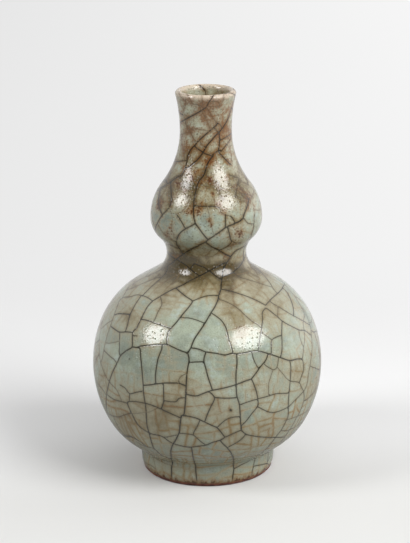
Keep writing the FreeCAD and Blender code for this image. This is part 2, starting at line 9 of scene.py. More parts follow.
import math
import random
from functools import partial
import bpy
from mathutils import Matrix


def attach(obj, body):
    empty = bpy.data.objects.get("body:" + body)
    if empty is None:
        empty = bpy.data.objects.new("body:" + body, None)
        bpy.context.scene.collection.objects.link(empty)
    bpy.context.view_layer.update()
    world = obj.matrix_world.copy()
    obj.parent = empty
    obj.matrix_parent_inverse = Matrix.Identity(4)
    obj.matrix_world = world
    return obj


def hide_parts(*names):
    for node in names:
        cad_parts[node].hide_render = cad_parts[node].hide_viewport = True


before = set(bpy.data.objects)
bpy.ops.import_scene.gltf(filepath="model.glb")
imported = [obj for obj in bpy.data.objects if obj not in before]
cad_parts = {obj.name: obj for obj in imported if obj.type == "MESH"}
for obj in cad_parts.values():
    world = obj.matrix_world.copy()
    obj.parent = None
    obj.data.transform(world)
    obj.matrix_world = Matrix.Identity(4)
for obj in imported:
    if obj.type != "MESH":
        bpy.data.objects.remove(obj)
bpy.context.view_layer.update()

from types import SimpleNamespace

import bmesh
import bpy
import numpy as np
from bpy.props import FloatProperty, FloatVectorProperty, IntProperty, PointerProperty
from mathutils import Matrix, Vector, geometry, kdtree, noise
from mathutils.bvhtree import BVHTree

bl_info = {
    "name": "Double Gourd Vase",
    "version": (1, 0, 0),
    "blender": (4, 5, 0),
    "location": "3D View > Sidebar > Vase",
    "description": "Crackled glazes, foot wash and studio for a double gourd vase",
    "category": "Object",
}

MM = 0.001
PHOTO_WIDTH, PHOTO_HEIGHT = 410, 543
SENSOR = 36.0
HALF_TURN = math.pi
WHOLE_TURN = 2 * math.pi
SHARP_ANGLE = math.radians(35)

# from here on, in millimetres, a point counts as away from every crack
AWAY = 9.0
# spacing of the places that the fine crackle is grown from, and steps of a short traced crack in radians
FINE_GRID = 1.5
ROUTE_STEP = 0.05
# grown main cracks begin at this turn from the front, where the traced ones end
TRACED_TURN = math.radians(56)
# over these turns the marks of the photograph give way to grown ones
FRONT_ENDS = (math.radians(58), math.radians(80))
# heights in millimetres over which the look of the glaze changes, from the foot to the lip
RIDGES_FADE = (14, 24)
LOW_BELLY = (38, 52)
SHOULDER = (58, 74)
UPPER_HALF = (92, 118)
NECK = (142, 158)
LIP = (177.0, 179.4)
# level and spread of the throat in millimetres, then the bands of stain, each with its share; the first,
# just under the waist, is stain and also painted shade under the small bulb
THROAT = (154, 6)
STAIN_AND_SHADE_BANDS = ((99.5, 7, 0.85), (*THROAT, 0.2), (138, 7, 0.62), (119, 9, -0.2))
WALLS = ("neck", "bulb", "waist", "belly")
# triangulation of a surface laid flat: the sheet's enlargement, its tolerance, how near an edge counts as
# on it, how near two drops count as one, and the room beside a crack as a share of the pitch
SHEET_SCALE = 30.0
SHEET_TOLERANCE = 2e-4
ON_EDGE = 1e-5
SAME_DROP = 1e-3
CRACK_ROOM = 0.42

CLAY_NODES = ("foot_ring", "lower_bulb_base", "lower_bulb_shoulder", "upper_bulb_neck")
SLIP_NODES = ("foot_seam_slip", "belly_seam_slip", "waist_seam_slip")

# colours of the foot wash, the clay, the slip and the studio
WASH_DARK, WASH_RED, WASH_GOLD, WASH_WORN = "#4A261C", "#7A4534", "#6E4A2C", "#A58E76"
CLAY_DARK, CLAY_LIGHT, IRON_GRAIN = "#8F7F6D", "#B3A490", "#5A4636"
SLIP_DARK, SLIP_LIGHT = "#A39684", "#BFB3A0"
# the shade grey paints the paper darker in front of the vase
PAPER_SHADE_GREY, PAPER_LIT, PAPER_MIRRORED, WHITE = "#D8D8D6", "#A8A8A6", "#BCBCBA", "#FFFFFF"
# brightness far away, where the floor and the sky meet
FAR_LEVEL = 0.85
# place that the lamps face, in metres
LAMP_AIM = (0, 0, 0.08)
# each lamp's azimuth, elevation, width and height in degrees, its radiance and its distance in metres
LAMPS = {
    "left_box": (-67, 36, 33, 31, 0.95, 1.2),
    "left_core": (-67, 36.5, 23, 23, 7.0, 1.19),
    "right_box": (52, 37, 50, 38, 0.9, 1.2),
    "right_core": (52, 37.5, 36, 27, 6.7, 1.19),
    "right_rim": (112, 6, 60, 30, 0.45, 1.2),
}

# recipes for shader nodes: the type, its inputs in order, its output and its settings. BLEND takes a share
# and two colours. LINEAR and EASE take a value, two limits and what they give at those. PLUS takes a value,
# a factor and a base.
BLEND = ("Mix", (0, 6, 7), 2, {"data_type": "RGBA"})
LINEAR = ("MapRange", ("Value", "From Min", "From Max", "To Min", "To Max"), 0, {})
EASE = (*LINEAR[:3], {"interpolation_type": "SMOOTHSTEP"})
PLUS = ("Math", (0, 1, 2), 0, {"operation": "MULTIPLY_ADD"})
TIMES = ("Math", (0, 1), 0, {"operation": "MULTIPLY"})
LESS = ("Math", (0, 1), 0, {"operation": "SUBTRACT"})
MOST = ("Math", (0, 1), 0, {"operation": "MAXIMUM"})
STRETCH = ("VectorMath", (0, 1), 0, {"operation": "MULTIPLY"})
REACH = ("VectorMath", (0,), "Value", {"operation": "LENGTH"})
PLACE = ("TexCoord", (), "Object", {})
DIRECTION = ("TexCoord", (), "Generated", {})
AXES = ("SeparateXYZ", (0,), "Z", {})
MARK = ("Attribute", (), "Fac", {})
NOISE = ("TexNoise", ("Vector", "Scale", "Detail", "Roughness"), "Fac", {})
GRIT = ("TexVoronoi", ("Vector", "Scale"), "Distance", {})
RED = ("SeparateColor", (0,), 0, {})
BUMP = ("Bump", ("Height", "Distance", "Strength"), 0, {})
RAYS = ("LightPath", (), 0, {})
SHADER = ("BsdfPrincipled", ("Base Color", "Roughness", "Specular IOR Level", "Normal", "IOR"), 0, {})
GLOW = ("Emission", ("Color", "Strength"), 0, {})
SKY = ("Background", ("Color", "Strength"), 0, {})
EITHER = ("MixShader", (0, 1, 2), 0, {})
SURFACE = ("OutputMaterial", ("Surface",), None, {})
WORLD = ("OutputWorld", ("Surface",), None, {})
# what each point of a glaze knows: millimetres to the nearest cracks and how dark they are, and its marks
MARKS = ("crack_gap", "crack_tone", "net_gap", "net_tone", "stain", "rust", "cell_tint")

# cracks in front, read off: how dark each one is, and its route in pixels of the photograph
MOUTH_CRACKS = """
1 199,84.7 202.5,87.9 205.3,90.6;
"""
NECK_CRACKS = """
.9 212.6,96.7 208.6,102.5 206.3,107 199.4,111.7 190.2,116.8 182.7,121 181,122;
.9 217.7,123.7 212,129 204,135.8 197,142.7 190.2,150.7 187.3,157.6 187.3,160.5;
1 230.4,111.7 228,118.6 223.5,126.6 219,132.3 215.4,135.8 207.4,145 204,150.7 199.4,157.6 194.8,162.2;
.9 219,132.3 219.5,140.4 219,147.3 217.7,152;
.7 229.2,135.2 224.6,138 221.2,139.8;
.7 231.5,137 228,142.7 223.5,148.4 220.6,152;
.8 196,147.8 200.5,150.7 205,153.6 212,156;
.7 177,161.6 182,161 187.3,160.5;
.9 187.3,160.5 182.7,173.7 177.6,177 170.7,181.7 163.8,186.3 159.2,189.2;
.8 170.7,182.8 171.2,191 171.8,200;
.9 171.8,200 168.9,208 162.6,215 157.5,223 155.7,227.6;
.9 213.7,155.3 209.7,160 206.8,165.6 204,174.8 199.4,180.6 197,186.3 194.8,195.5 193.6,205.8 193.6,216
    195.3,223;
.7 194.8,205.8 205,206.4 215.4,206.4 220,208;
.8 176.4,214 181,221 185.6,228.8;
.8 225.2,216 225.2,227.6;
.8 231.5,216.7 235,222.5;
.6 229.2,174.8 235,177 239,178.3 237.3,185 236,193 236,196.6;
.6 241.8,189.7 246.4,196.6 249.9,199;
.6 244,218.4 247.6,223 253.3,224.2;
.8 253.9,215 253.9,225.3 252.2,232.2 249.9,239;
.45 185.5,121 185.7,124 188,128 190.2,131.5 192.5,137 195,140.5;
.5 212.5,127.5 216,130 219,132.5;
.8 223.5,157.5 226.5,160.5 230,164 232,165;
.35 181,97 184,100 185.5,103 185,107 183.5,110 183,115 183.5,120;
.4 188,96 190.5,100 192.5,104 196,104.5 200,105.5 203.5,108.5;
.3 202,98 202.5,103 203.5,108.5;
.45 208.5,102.5 213,101.5 217,101.5 219,103 219.5,106;
.4 224,97 222.5,101 220,105.5 214,106.5 206.5,107;
.45 206,107.5 209,111 211,115 214,119.5 217.5,123.5;
.35 190,129.5 197,129 204,130.3 208.5,131.5;
.35 181,134.5 186,133 190,131.5;
.4 203,114 207,121 209,126 210.5,129.5;
.5 219,122.5 221.3,127 222,129.5;
.35 183,134 181.7,139 182,144 183.5,150 184.3,156 184,161;
.4 199.5,141 202.5,145 205.5,148.5;
.6 216.5,152 213.8,153.5 212,156.5;
.35 228,145 230,150 231.5,157 231,164;
.45 187,196.5 190,196 194,195.5;
.4 189,201.5 187.3,206 184,209.5 181,212.5 176.5,214;
.5 158,224 161,230 164.5,234;
.3 169.5,208 171.5,214 172.5,220 171.5,226 173,233;
.5 166,242 170,244.5 177,248;
.35 207,207 209,214 210,220 211.5,226 213,233;
.5 215.5,206.4 218,207 220,209 220.7,212.5 225,214.5 231,216.5;
.4 239,175 239.2,178.5 242,181.5 244.5,183;
.5 236.5,190 240,192 243,196 246,199;
.5 253.5,192 252,196 250,199.5;
.35 239.5,199.5 243,201.5 246,199.5;
.3 253.5,207 254.5,213 256,219;
.35 218,184 218.5,190 220,195 222.5,199;
.45 228.5,183 231.5,185.5 236.3,190;
"""
WAIST_CRACKS = """
1 247.6,204.6 244.5,213 242.2,219 234.6,223.7 226.2,227.2 216.2,234.4 208.6,239.4 205.5,242 199.4,245
    191.7,249 183.3,254.3 176.4,259.3 169.9,264.7;
.6 169.9,264.7 161.8,269.3 156,272 150.3,275 144.5,277.3 138.8,280.2 133,283.6 129,286.5 126.7,290.5
    124.4,294.5 122.7,297.4;
.9 195.2,223 199.4,229 204,235.2 207.8,239.4;
.9 195.2,223.7 190.2,226.4 185.6,228.7 180.2,233 177.2,238.3 177.2,245 181,251.3 183.3,254.3;
1 205.5,242 211.6,246.7 218.5,250 223.9,253.6 230.4,256.6;
.8 227.7,228.3 229.2,233.7 230.4,239 231.5,241.7 227.7,246 222.3,249 218.5,250;
.6 231.5,240.6 235.3,242.8 240,242.8;
.9 244.5,246 239.2,249 235.3,251.3 230.7,256.6 226.9,262.7;
1 219.3,265.8 214.7,268 208.6,271.2 202.4,274.6 196.3,277.7 189.4,281 182.5,285 175.7,288 166.5,292.6
    158.8,297.2 152.7,301;
.8 171.8,256.6 176.4,259.3 180.2,261.6 185.6,265 190.2,269 194.8,272.7 199.4,275.7;
.8 190.2,269 192.5,265.8 194.4,263.5 198.6,265.4 204,267.3 208.6,270.8;
.8 209.3,270.8 213.9,274.6 219.3,278.4 222.3,279.6;
1 223,270.4 222.3,275 221.9,279.6 221.2,284.2 220.8,289 218.9,295 217.7,300.2 214.7,307 210.9,313 205,323.2
    200,330.6 194.2,339.4 191,347.4 187.8,353;
.8 243,261.2 240,265.8 236,269.6 232.3,272.7 229.2,274.2;
.4 217.7,252.8 213,256 207,256.6 208.6,252.8 211.6,250;
.9 176,288 181,292.6 187,297.2 192.5,300.5;
"""
LEFT_CRACKS = """
1 152.7,301 148,306 144.4,312.3 140.8,319.5 136.8,327.5 132.8,332.3 132.4,339.4 132,347 126.5,350.6
    120.5,355.8 117,363.3 112,373.7 109,383.3 107,392 106.3,406 106.5,412.3;
.7 119.3,300.8 123.9,297.4 130.2,296.8 136,295 141.7,295.4 147.4,297.4 152.6,300.8;
.6 119.3,300.8 117.6,306 115.3,311.8 113,318.6 110.5,326 108,333;
.5 100,334.6 100,358.6 102.5,368 108,380 113,385.7 117,390.4 120,396.8 121.7,401;
.8 110.5,326 114.5,329 119.3,332 126.5,332 132.8,332.3;
.8 120,332 119.5,345.8 119.3,353 121,355.8;
.9 132,347 136,347.4 140,348.6 140.8,357.8 141.8,368 142.6,377.7 143.2,385 143.6,392.8 145.2,403.2 146,410
    146.4,418 147.2,426 148.8,432.3 150.4,437.8 152.8,445.8 154,448.2 159,453 164.7,457 169.5,458.6;
.6 160.7,297.2 162,303.6 160,308.3 157.5,313 155.2,318.7 153.2,322;
.8 140.8,319 147.2,320.3 152.8,322.3 159,324.3 165.5,326.7 171,328;
1 192.6,302 187.8,308.3 182.3,314.7 176.7,322 171,328.3 168,333 167,341 167,345;
.8 192.5,301 200.9,297.6 208.6,295.6 218.5,295.3;
.9 143.2,345.8 152.8,345 160,344.6 167,344.6 172.7,347 180.7,350.6 187.8,353;
.6 132.8,335.4 137,336;
.9 162.3,345 161.5,349.8 158.3,357.8 156.7,365.7 155.6,373.7 155.6,382.5;
.9 143.2,385.3 148.8,385 156,384 164.7,383 172.7,383 179,383.3 186.2,386;
.5 186.2,373.7 181.5,376 179,379.3 178.7,383.3;
1 187.8,353 189,358.6 188.6,363.3 187.4,369.7 186.6,377.7 186.2,385.7 185.8,393.6 185.6,398 185,406
    183.9,414.7 181.9,415.5 180.7,419.5 180,426 179,433 176,439.4 172.7,445 171,450.6 171.5,457.8 172,465.7
    171.7,472 171.5,477.5;
.7 183,318 188.6,318 196.6,320 203.8,323;
.8 189.4,362.5 196.6,362 203.8,361.7;
.9 205.8,352.2 203.8,360 205.4,367 208,377 210.8,385.4 212.4,389.8;
.7 120,385 125,388 129.6,393.6 136,392.4 143.2,390.8;
.7 129.8,393.6 129.3,401.2;
.8 163.5,389 163.7,396 163.5,402 161.5,408.7;
.7 107,394.6 114.5,399.6 121.7,401.6 127.3,403.2;
.9 187,394.4 195.8,396 203,393.6 210.8,390.7 224.9,387.8 236.5,384.5 244.8,381.2 251.4,379;
.7 163.9,400.4 169.5,401.6 176,401.6 179,398.4 185.4,397.6;
.9 127.3,403.2 129.6,409 132.8,415.5 136,422 140.8,427.5 148,432.3 152.8,434.2 159,435.4 163.9,437.4
    168,440.6 172.7,443.4 176.7,444.6 184.6,446.6 191.8,447 200,446 206.6,445 211.6,442.7 219.9,440.2
    224.9,437.3;
.7 127.3,403.2 128.4,401.6 136,401.6 144.8,403.2;
.8 145.2,403.2 152.8,405.5 160.7,409 169.5,413 179.9,417.5;
.9 181.9,415.5 188.6,416.3 196.6,418.3 204.6,422 212.4,425.7 217.4,428 221.6,433 224.9,437.3;
.8 204.6,422 207.5,414 210.8,406.6 214.5,397.9 209,391.4;
.8 214.5,397.4 224,398.2 235.7,397.8;
.7 199.8,420.3 197.4,426 194.2,431.5 193,435;
.7 179.5,433.4 186.2,433.8 193,435 196.6,437.8 202.2,442.6 205.4,444.6;
.6 163.9,437.4 171,436.2 177.5,434.6;
.6 106.5,412.3 112,415.5 118.5,417 125,414.7 131,413;
.3 140.8,413 148.8,412 153.6,410;
.6 136.8,441.8 144,445.8 154,448.2;
"""
FOOT_CRACKS = """
.9 191.4,447 192.6,453.8 194.2,461.7 195.8,469.7 196.6,478.5 197,483;
.3 153.6,459.4 155.2,465.7 156,473;
.3 159,460.2 164.7,463.3 171,465;
.9 219.9,440.2 223.2,444 227.4,448 231.5,453.8 233.6,460.5 233.6,467 233.2,473 232,484;
.7 234,468.8 241.5,464.6 249.8,460.5 256.4,456.3 263.8,451;
.7 254.3,461.3 253,468 252.2,478;
"""
RIGHT_CRACKS = """
.9 220.8,289 228.4,290.5 236.3,292.8 246,296 256.4,300.4 265.5,305.3;
.7 265.5,305.3 269.5,300.8 274,296.4 279.7,291.3 282.6,287.6;
.6 219.4,299.5 225,301.2 233.2,305.3 239,309.5 244.8,315 251.4,320.7 258,324.8 261.4,328;
.8 211.6,313.2 216.6,316.5 221.6,320.7 225.7,327.3 227.8,335.6 229,340.6 231.5,347.2 232.8,353.4;
.7 265.7,307.5 262.3,312.6 262.6,319.5 261.8,326 261.4,330 259.7,339.8 258,351.4;
.8 266.4,308.2 272,312.4 277.2,316.7 282.3,321 289,325 298.7,329.8 304.5,330.6 310.3,334.8;
.8 282,321 281.7,329 281.7,336.4 282,344.7 281.7,351.4 280.4,357.4;
.7 281.7,335.2 277,336.8 272,340 271.3,346.4 271.3,353.8;
.6 262.2,332.3 267.2,336.4 272,340;
.7 269.4,300.8 273,303.7 276.3,305.4 281,308.3 286.7,311.8 292.4,315.2 301,319.8;
.5 277.9,310 277.5,315.7;
.6 280.4,279.6 285,284.8 289.5,290 294.5,296 298,301.5 301.2,307 304.3,314.5 303.2,322 304,329.8 304.5,339
    303.6,348 302.4,358.8;
.6 307.8,318.2 310.3,326.5 311.5,336.4 312,348 310.7,360.5 308.6,373 307,383.7 303.6,392;
.6 298.7,330.6 300,338 302.8,346.4;
.7 302.6,359.5 303.6,368.8 301.2,377 299.5,382;
.6 290,381.2 298.7,382.5 301.2,387 303.6,391.2;
.9 191,347.8 198.2,349 205.8,351.8 216.6,353.4 225,355 231.5,353.4 236.5,354 245.6,352.6 254.7,351
    261.4,351.8 270.5,354.3 280.4,357.6 289.6,360.5 296.2,359.2 302,358.8;
.8 289.6,360.9 290.8,367 290.4,377 289.6,387 288.5,398 288.3,406.6 288,415.7 286.2,420.7 281.3,429.8
    275.5,437.3 270.5,444 263.8,451;
.9 236.5,354.3 237,363 236,373 236,384.5 236.5,393.6 237.7,399 239.4,405 240.2,415 240.6,423.2 241.5,430.6;
.9 268,354.7 265.5,360.5 261.4,365.5 257.2,371.3 251.4,379;
.7 252.2,354.7 254.3,361.3 258,368;
.6 264.7,365 273,369.6 277,367 278.4,358;
.5 277,367 282,373;
.5 273,369.6 270.5,377 268.8,383 268.4,393.6;
.8 251.4,379 253.9,384.5 256.4,392 257.6,398.5 257.6,405.8 251.4,414 246.4,420.7 241.5,425.7;
.7 239.8,405 246.4,402.4 257.4,399 267.5,396.4 276.5,393.7 288,393.2;
.7 257.6,406.6 263,409.5 268.8,412 274.6,412.4 281.3,410.3 288.7,406.6 293.7,401.6 299.5,395.8 303.6,391;
.8 241.5,430.6 246.4,434.4 256.4,436.4 266.3,437.3 278.8,437.3;
.7 303.6,392 304,399 300.3,410.7 296.2,418.2 291.2,427.3 286.2,434.8 279.6,443;
.6 280.8,430.6 287,430.6 293,428 299.5,424;
.5 283.7,421 289.6,419 295.4,417;
.7 239.6,416.5 232.3,417.4 225,420.3 217.4,427;
.8 240.6,430.2 233.2,433.5 225,437.3;
.8 245.6,434.4 240.6,439.8 234,444 227.4,447.6;
"""
FRONT_CRACKS = NECK_CRACKS + WAIST_CRACKS + LEFT_CRACKS + RIGHT_CRACKS + FOOT_CRACKS
# pinholes in front: how dark, and the two ends of a short mark
PINHOLES = """
2.0 230.5,410 231,410.4;
.8 129.3,359 129.8,359;
.7 160.7,335 161.2,335;
"""

# stained and clean places in front: pixel, spread in pixels and how much more or less stain. The spots
# just under the waist, in rows 254 to 272, paint shade there as well as stain.
STAIN_AND_SHADE_PLACES = """
201,102,7,.5 207,117,6,.5 222,131,7,.6 192,132,5,.5 187,150,6,.5 210,160,7,.5 197,177,7,.6 211,181,6,.6
188,187,6,.4 203,203,5,.2 197,212,5,.4 158,203,7,.9 180,183,6,.4 222,208,6,.4 247,198,6,.5 241,230,7,.5
212,221,3,.4 170,233,6,.4 198,266,10,.35 223,267,8,.3 174,256,10,.6 200,254,10,.35 242,255,6,-.3
192,262,6,.3 232,240,8,.4 178,243,7,.2 193,110,5,-.6 197,123,5,-.6 188,140,5,-.6 225,101,6,-.7 214,141,5,-.4
189,120,4,.3 223,121,4,.3 203,193,5,-.6 203,222,7,-.7 187,237,7,-.7 220,217,4,-.5 251,217,5,-.5
180,167,4,-.5 163,217,5,-.5 214,240,4,-.4 178,263,8,.6 175,272,8,.5 200,287,8,.1 227,308,8,.55 236,317,7,.6
243,283,8,.15 281,306,8,.5 133,320,7,.4 165,303,5,.4 252,295,6,.15 252,316,7,.2 163,408,9,.5 119,405,8,.35
127,420,9,.5 158,425,10,.65 265,428,9,.5 255,388,7,.3 193,388,8,.4 178,383,6,.45 243,441,7,.4 163,290,8,.35
229,291,6,.2 141,288,9,.15 140,402,9,.4 131,433,8,.3 182,415,9,.35 197,430,8,.3 232,420,9,.4 222,440,9,.3
175,398,8,.35 127,313,7,.5 240,332,6,.7 230,290,7,.4 256,290,8,.4 236,272,8,.5 238,350,6,.3 266,312,8,.4
215,465,9,-.2 248,462,8,-.2 160,470,8,.25 298,372,6,.5 100,375,8,.4 315,388,8,.3 215,405,8,.4 213,333,12,-.8
182,333,11,-.7 198,310,9,-.6 143,305,7,-.3 193,357,8,-.5 208,367,9,-.4 245,353,9,-.5 125,358,9,-.6
152,367,9,-.6 290,342,8,-.4 248,308,6,-.5 293,313,7,-.4 250,418,6,-.5 212,445,6,-.5 235,395,7,-.4
243,283,9,-.5 262,345,9,-.4 113,345,7,-.2 225,372,8,-.2
"""
# spots on the far wall of the mouth, darker on the right and paler on the left: pixel, spread in pixels and
# weight
MOUTH_SPOTS = """
222,88,5,.9 212,86,4,.4 229,92,3,.3 193,89,5,-.4 203,92,3,.3 182,91,3,.2
"""
# rust in front: pixel, spread in pixels and strength
RUST_PLACES = """
186,99,3,.5 191,101,3,.5 203,103,4,.6 206,107,3,.5 216,104,4,.5 220,99,3,.5 190,130,3,.8 206,116,5,.5
226,129,3,.7 221,135,3,.6 228,110,3,.5 211,161,3,.8 186,145,4,.4 230,162,3,.5 221,119,4,.3 196,172,4,.85
190,179,3,.85 210,180,3,1.1 203,182,2,.8 213,194,2,1.1 178,184,4,.75 159,203,3,1.2 157,208,2,1 197,212,4,.9
202,202,3,.5 188,212,3,.8 209,220,2,.9 211,226,2,.8 237,231,4,.7 241,235,3,.7 248,199,3,.9 247,193,2,.7
232,245,4,.6 168,235,3,.7 183,168,3,.6 226,177,3,.65 217,186,2,.7 240,190,3,.65 251,209,3,.6 175,196,3,.5
205,250,5,.4 176,255,5,.5 225,255,5,.5 206,162,3,.6 219,203,3,.75 224,212,3,.7 185,192,3,.6 171,228,3,.6
234,186,2,.6
"""


def linear(code):
    """Linear colour of an sRGB hex code."""
    parts = [int(code[k:k + 2], 16) / 255 for k in (1, 3, 5)]
    return [p / 12.92 if p <= 0.04045 else ((p + 0.055) / 1.055) ** 2.4 for p in parts] + [1.0]


def length(name, description, millimetres):
    return FloatProperty(name=name, description=description, default=millimetres * MM, unit="LENGTH",
                         precision=4)


def share(name, description, value):
    return FloatProperty(name=name, description=description, default=value, subtype="FACTOR", min=0, max=2)


def angle(name, description, degrees):
    return FloatProperty(name=name, description=description, default=math.radians(degrees), unit="ROTATION")


def colour(name, description, code):
    return FloatVectorProperty(name=name, description=description, default=linear(code), size=4,
                               subtype="COLOR", min=0, max=1)


class VaseSizes(bpy.types.PropertyGroup):
    """Sizes of the glazed vase, as in the CAD model."""

    foot_rim_radius: length("Foot radius", "Outer radius of the glazed foot at the floor", 30.6)
    foot_taper: angle("Foot taper", "How far the foot wall leans outwards", 4.5)
    foot_height: length("Foot height", "Height where the foot wall runs into its fillet", 9.5)
    foot_fillet: length("Foot fillet", "Fillet between the foot wall and the underside", 2.4)
    foot_wall: length("Foot wall", "Width of the clay foot ring at its rim", 4.4)
    recess_corner: length("Recess corner", "Corner radius of the recess", 2.0)
    base_level: length("Base level", "Height of the clay base over the recess", 6.5)
    floor_thickness: length("Floor thickness", "Thickness of the clay floor", 6.0)
    floor_corner: length("Floor corner", "Radius between the floor and the wall inside", 28.0)
    belly_level: length("Belly level", "Height of the widest part of the large bulb", 51.2)
    belly_radius: length("Belly radius", "Glazed radius of the large bulb", 53.2)
    underbelly_share: share("Underbelly share", "Curve under the belly against one arc to the foot", 1.09)
    heel_start_share: share("Heel start share", "How far along that arc the heel curve starts", 0.526)
    heel_share: share("Heel share", "Heel curve against the largest that fits", 0.82)
    shoulder_angle: angle("Shoulder angle", "Where the shoulder curve leaves the belly", 21.5)
    shoulder_share: share("Shoulder share", "Shoulder curve against the largest that fits", 0.892)
    shoulder_rise: length("Shoulder rise", "Height of the waist above the belly", 53.1)
    waist_radius: length("Waist radius", "Glazed radius of the waist", 18.3)
    waist_curve: length("Waist curve", "Radius of the hollow curve under the waist", 9.7)
    bulb_rise: length("Bulb rise", "Height of the small bulb's widest part above the waist", 16.7)
    bulb_radius: length("Bulb radius", "Glazed radius of the small bulb", 25.6)
    bulb_under_share: share("Bulb under share", "Convex part of the curve to the waist", 0.53)
    bulb_over_share: share("Bulb over share", "Convex part of the curve to the neck", 0.388)
    neck_rise: length("Neck rise", "Height of the throat above the small bulb's widest part", 40.8)
    neck_radius: length("Neck radius", "Glazed radius of the throat", 11.8)
    mouth_rise: length("Mouth rise", "Height of the lip above the throat", 18.2)
    mouth_flare: length("Mouth flare", "How far the lip stands out beyond the throat", 2.0)
    lip_thickness: length("Lip thickness", "Thickness of the glazed lip", 2.9)
    lip_glaze: length("Lip glaze", "Glaze over the crest of the lip", 0.7)
    outer_glaze: length("Outer glaze", "Thickness of the outer glaze", 0.8)
    inner_glaze: length("Inner glaze", "Thickness of the lining glaze and the base glaze", 0.6)
    belly_wall: length("Belly wall", "Clay wall of the large bulb", 4.2)
    waist_wall: length("Waist wall", "Clay wall at the waist", 3.6)
    bulb_wall: length("Bulb wall", "Clay wall of the small bulb", 3.2)
    neck_wall: length("Neck wall", "Clay wall of the neck", 1.4)
    wash_thickness: length("Wash thickness", "Iron wash on the foot rim", 0.3)
    wash_height: length("Wash height", "Height of the iron wash, where the glaze begins", 1.7)
    glaze_feather: length("Glaze feather", "Height over which the glaze thins out above the wash", 1.6)
    rim_chamfer: length("Rim chamfer", "Chamfer on both edges of the clay foot rim", 0.5)
    ridge_height: length("Ridge height", "Height of the turning ridges above the foot", 0.18)
    ridge_pitch: length("Ridge pitch", "Spacing of the turning ridges", 2.3)


class CrackleLook(bpy.types.PropertyGroup):
    """How the glaze is crackled and coloured."""

    seed: IntProperty(name="Seed", description="Changes the grown cracks", default=11)
    pitch: length("Pitch", "Spacing of the points between cracks", 1.0)
    belly_cell: length("Belly cell", "Largest clear radius between cracks on the large bulb", 6.0)
    neck_cell: length("Neck cell", "Largest clear radius between cracks on the neck", 4.4)
    fine_cell: length("Fine cell", "Largest clear radius between the cracks of the fine crackle", 1.9)
    line_width: length("Line width", "Width of a strong crack line", 0.5)
    pale: colour("Pale glaze", "Clean glaze where it is thick", "#A6AF9C")
    deep: colour("Deep glaze", "Greyer glaze in some cells", "#868F82")
    ivory: colour("Ivory glaze", "Glaze with a first trace of stain", "#A29F88")
    # the stain and the brown also paint the shade just under the waist, where the marks run high
    stain: colour("Stain", "Tea-brown stain in the glaze", "#897E61")
    brown: colour("Brown", "Deepest stain", "#4E442C")
    amber: colour("Amber", "Warm tint around the rust", "#885F36")
    rust: colour("Rust", "Iron that has bled through near the mouth and on the small bulb", "#4C2A14")
    line: colour("Crack line", "Ink-dark crack lines", "#20211B")
    brown_line: colour("Brown line", "Weak crack lines", "#5C4830")
    gold_line: colour("Gold line", "Lines of the fine crackle", "#8A6D42")
    red_line: colour("Red line", "Lines of the fine crackle where the stain is redder", "#86603F")
    milky: colour("Milky glaze", "Bluish clouds in clean cells", "#AFBBB1")
    lip: colour("Lip", "Buff clay seen through the thin glaze on the lip", "#D6C5B1")
    neck_buff: colour("Neck buff", "Buff tint of the glaze on the neck", "#C8BE9C")
    haze: colour("Haze", "Amber haze around the fine crackle low on the belly", "#A58D5F")
    neck_rust: colour("Neck rust", "Rust on the neck", "#74441F")
    neck_edge: colour("Neck edge", "Soft edge of the crack lines on the neck", "#6B3F17")
    foot_gold: colour("Foot gold", "Golden edge of the glaze along the foot", "#8C6D45")
    foot_line: colour("Foot line", "Dark line where the glaze ends", "#50341F")


class StudioSetup(bpy.types.PropertyGroup):
    """Camera and lamps."""

    distance: length("Distance", "How far the camera stands in front of the vase's axis", 936.0)
    height: length("Height", "Height of the camera above the floor", 377.0)
    side: length("Side", "How far the camera stands to the right of the axis", -0.75)
    tilt: angle("Tilt", "Camera tilt from looking straight down", 73.206)
    roll: angle("Roll", "Camera roll", 0.35)
    lens: FloatProperty(name="Lens", description="Focal length", default=140.52, unit="CAMERA")
    fill: share("Fill", "Brightness of the room around the vase", 0.27)
    backdrop: colour("Backdrop", "Colour of the floor and the backdrop", "#F3F3F3")


def millimetres(group):
    """The group's sizes as plain numbers: lengths in millimetres, angles in radians."""
    values = {}
    for name, prop in group.bl_rna.properties.items():
        if prop.type == "FLOAT" and not prop.is_array:
            scale = MM if prop.unit == "LENGTH" else 1
            values[name] = getattr(group, name) / scale
    return SimpleNamespace(**values)


class Section:
    """Half-section of a turned form, drawn from the crest down in arcs and lines, in millimetres."""

    # millimetres between points, and the radius that stands for a straight line
    FINE = 0.12
    STRAIGHT = 1000.0

    def __init__(self):
        self.points = []

    def arc(self, centre, radius, first, last):
        """An arc between two angles in radians."""
        count = max(2, math.ceil(abs(last - first) * radius / self.FINE))
        for k in range(count + 1):
            at = first + (last - first) * k / count
            self.points.append((centre[0] + radius * math.cos(at), centre[1] + radius * math.sin(at), radius))

    def line(self, radius, level):
        start = self.points[-1]
        count = max(2, math.ceil(math.hypot(radius - start[0], level - start[1]) / self.FINE))
        for k in range(1, count + 1):
            part = k / count
            self.points.append((start[0] + (radius - start[0]) * part, start[1] + (level - start[1]) * part,
                                self.STRAIGHT))


def bearing(centre, point):
    return math.atan2(point[1] - centre[1], point[0] - centre[0])


def crossing_tangent(centre_a, radius_a, centre_b, radius_b, side):
    """Touching points of the straight line that crosses between two circles."""
    across = (centre_b[0] - centre_a[0], centre_b[1] - centre_a[1])
    distance = math.hypot(*across)
    swing = math.atan2(across[1], across[0]) + side * math.acos((radius_a + radius_b) / distance)
    reach = (math.cos(swing), math.sin(swing))
    return ((centre_a[0] + radius_a * reach[0], centre_a[1] + radius_a * reach[1]),
            (centre_b[0] - radius_b * reach[0], centre_b[1] - radius_b * reach[1]))


def bend_that_fits(start, slope, corner, corner_radius):
    """Largest arc that leaves a point along the circle through it and just touches a corner's circle."""
    offset = (start[0] - corner[0], start[1] - corner[1])
    lean = offset[0] * slope[0] + offset[1] * slope[1] + corner_radius
    return (offset[0] ** 2 + offset[1] ** 2 - corner_radius ** 2) / (2 * lean)


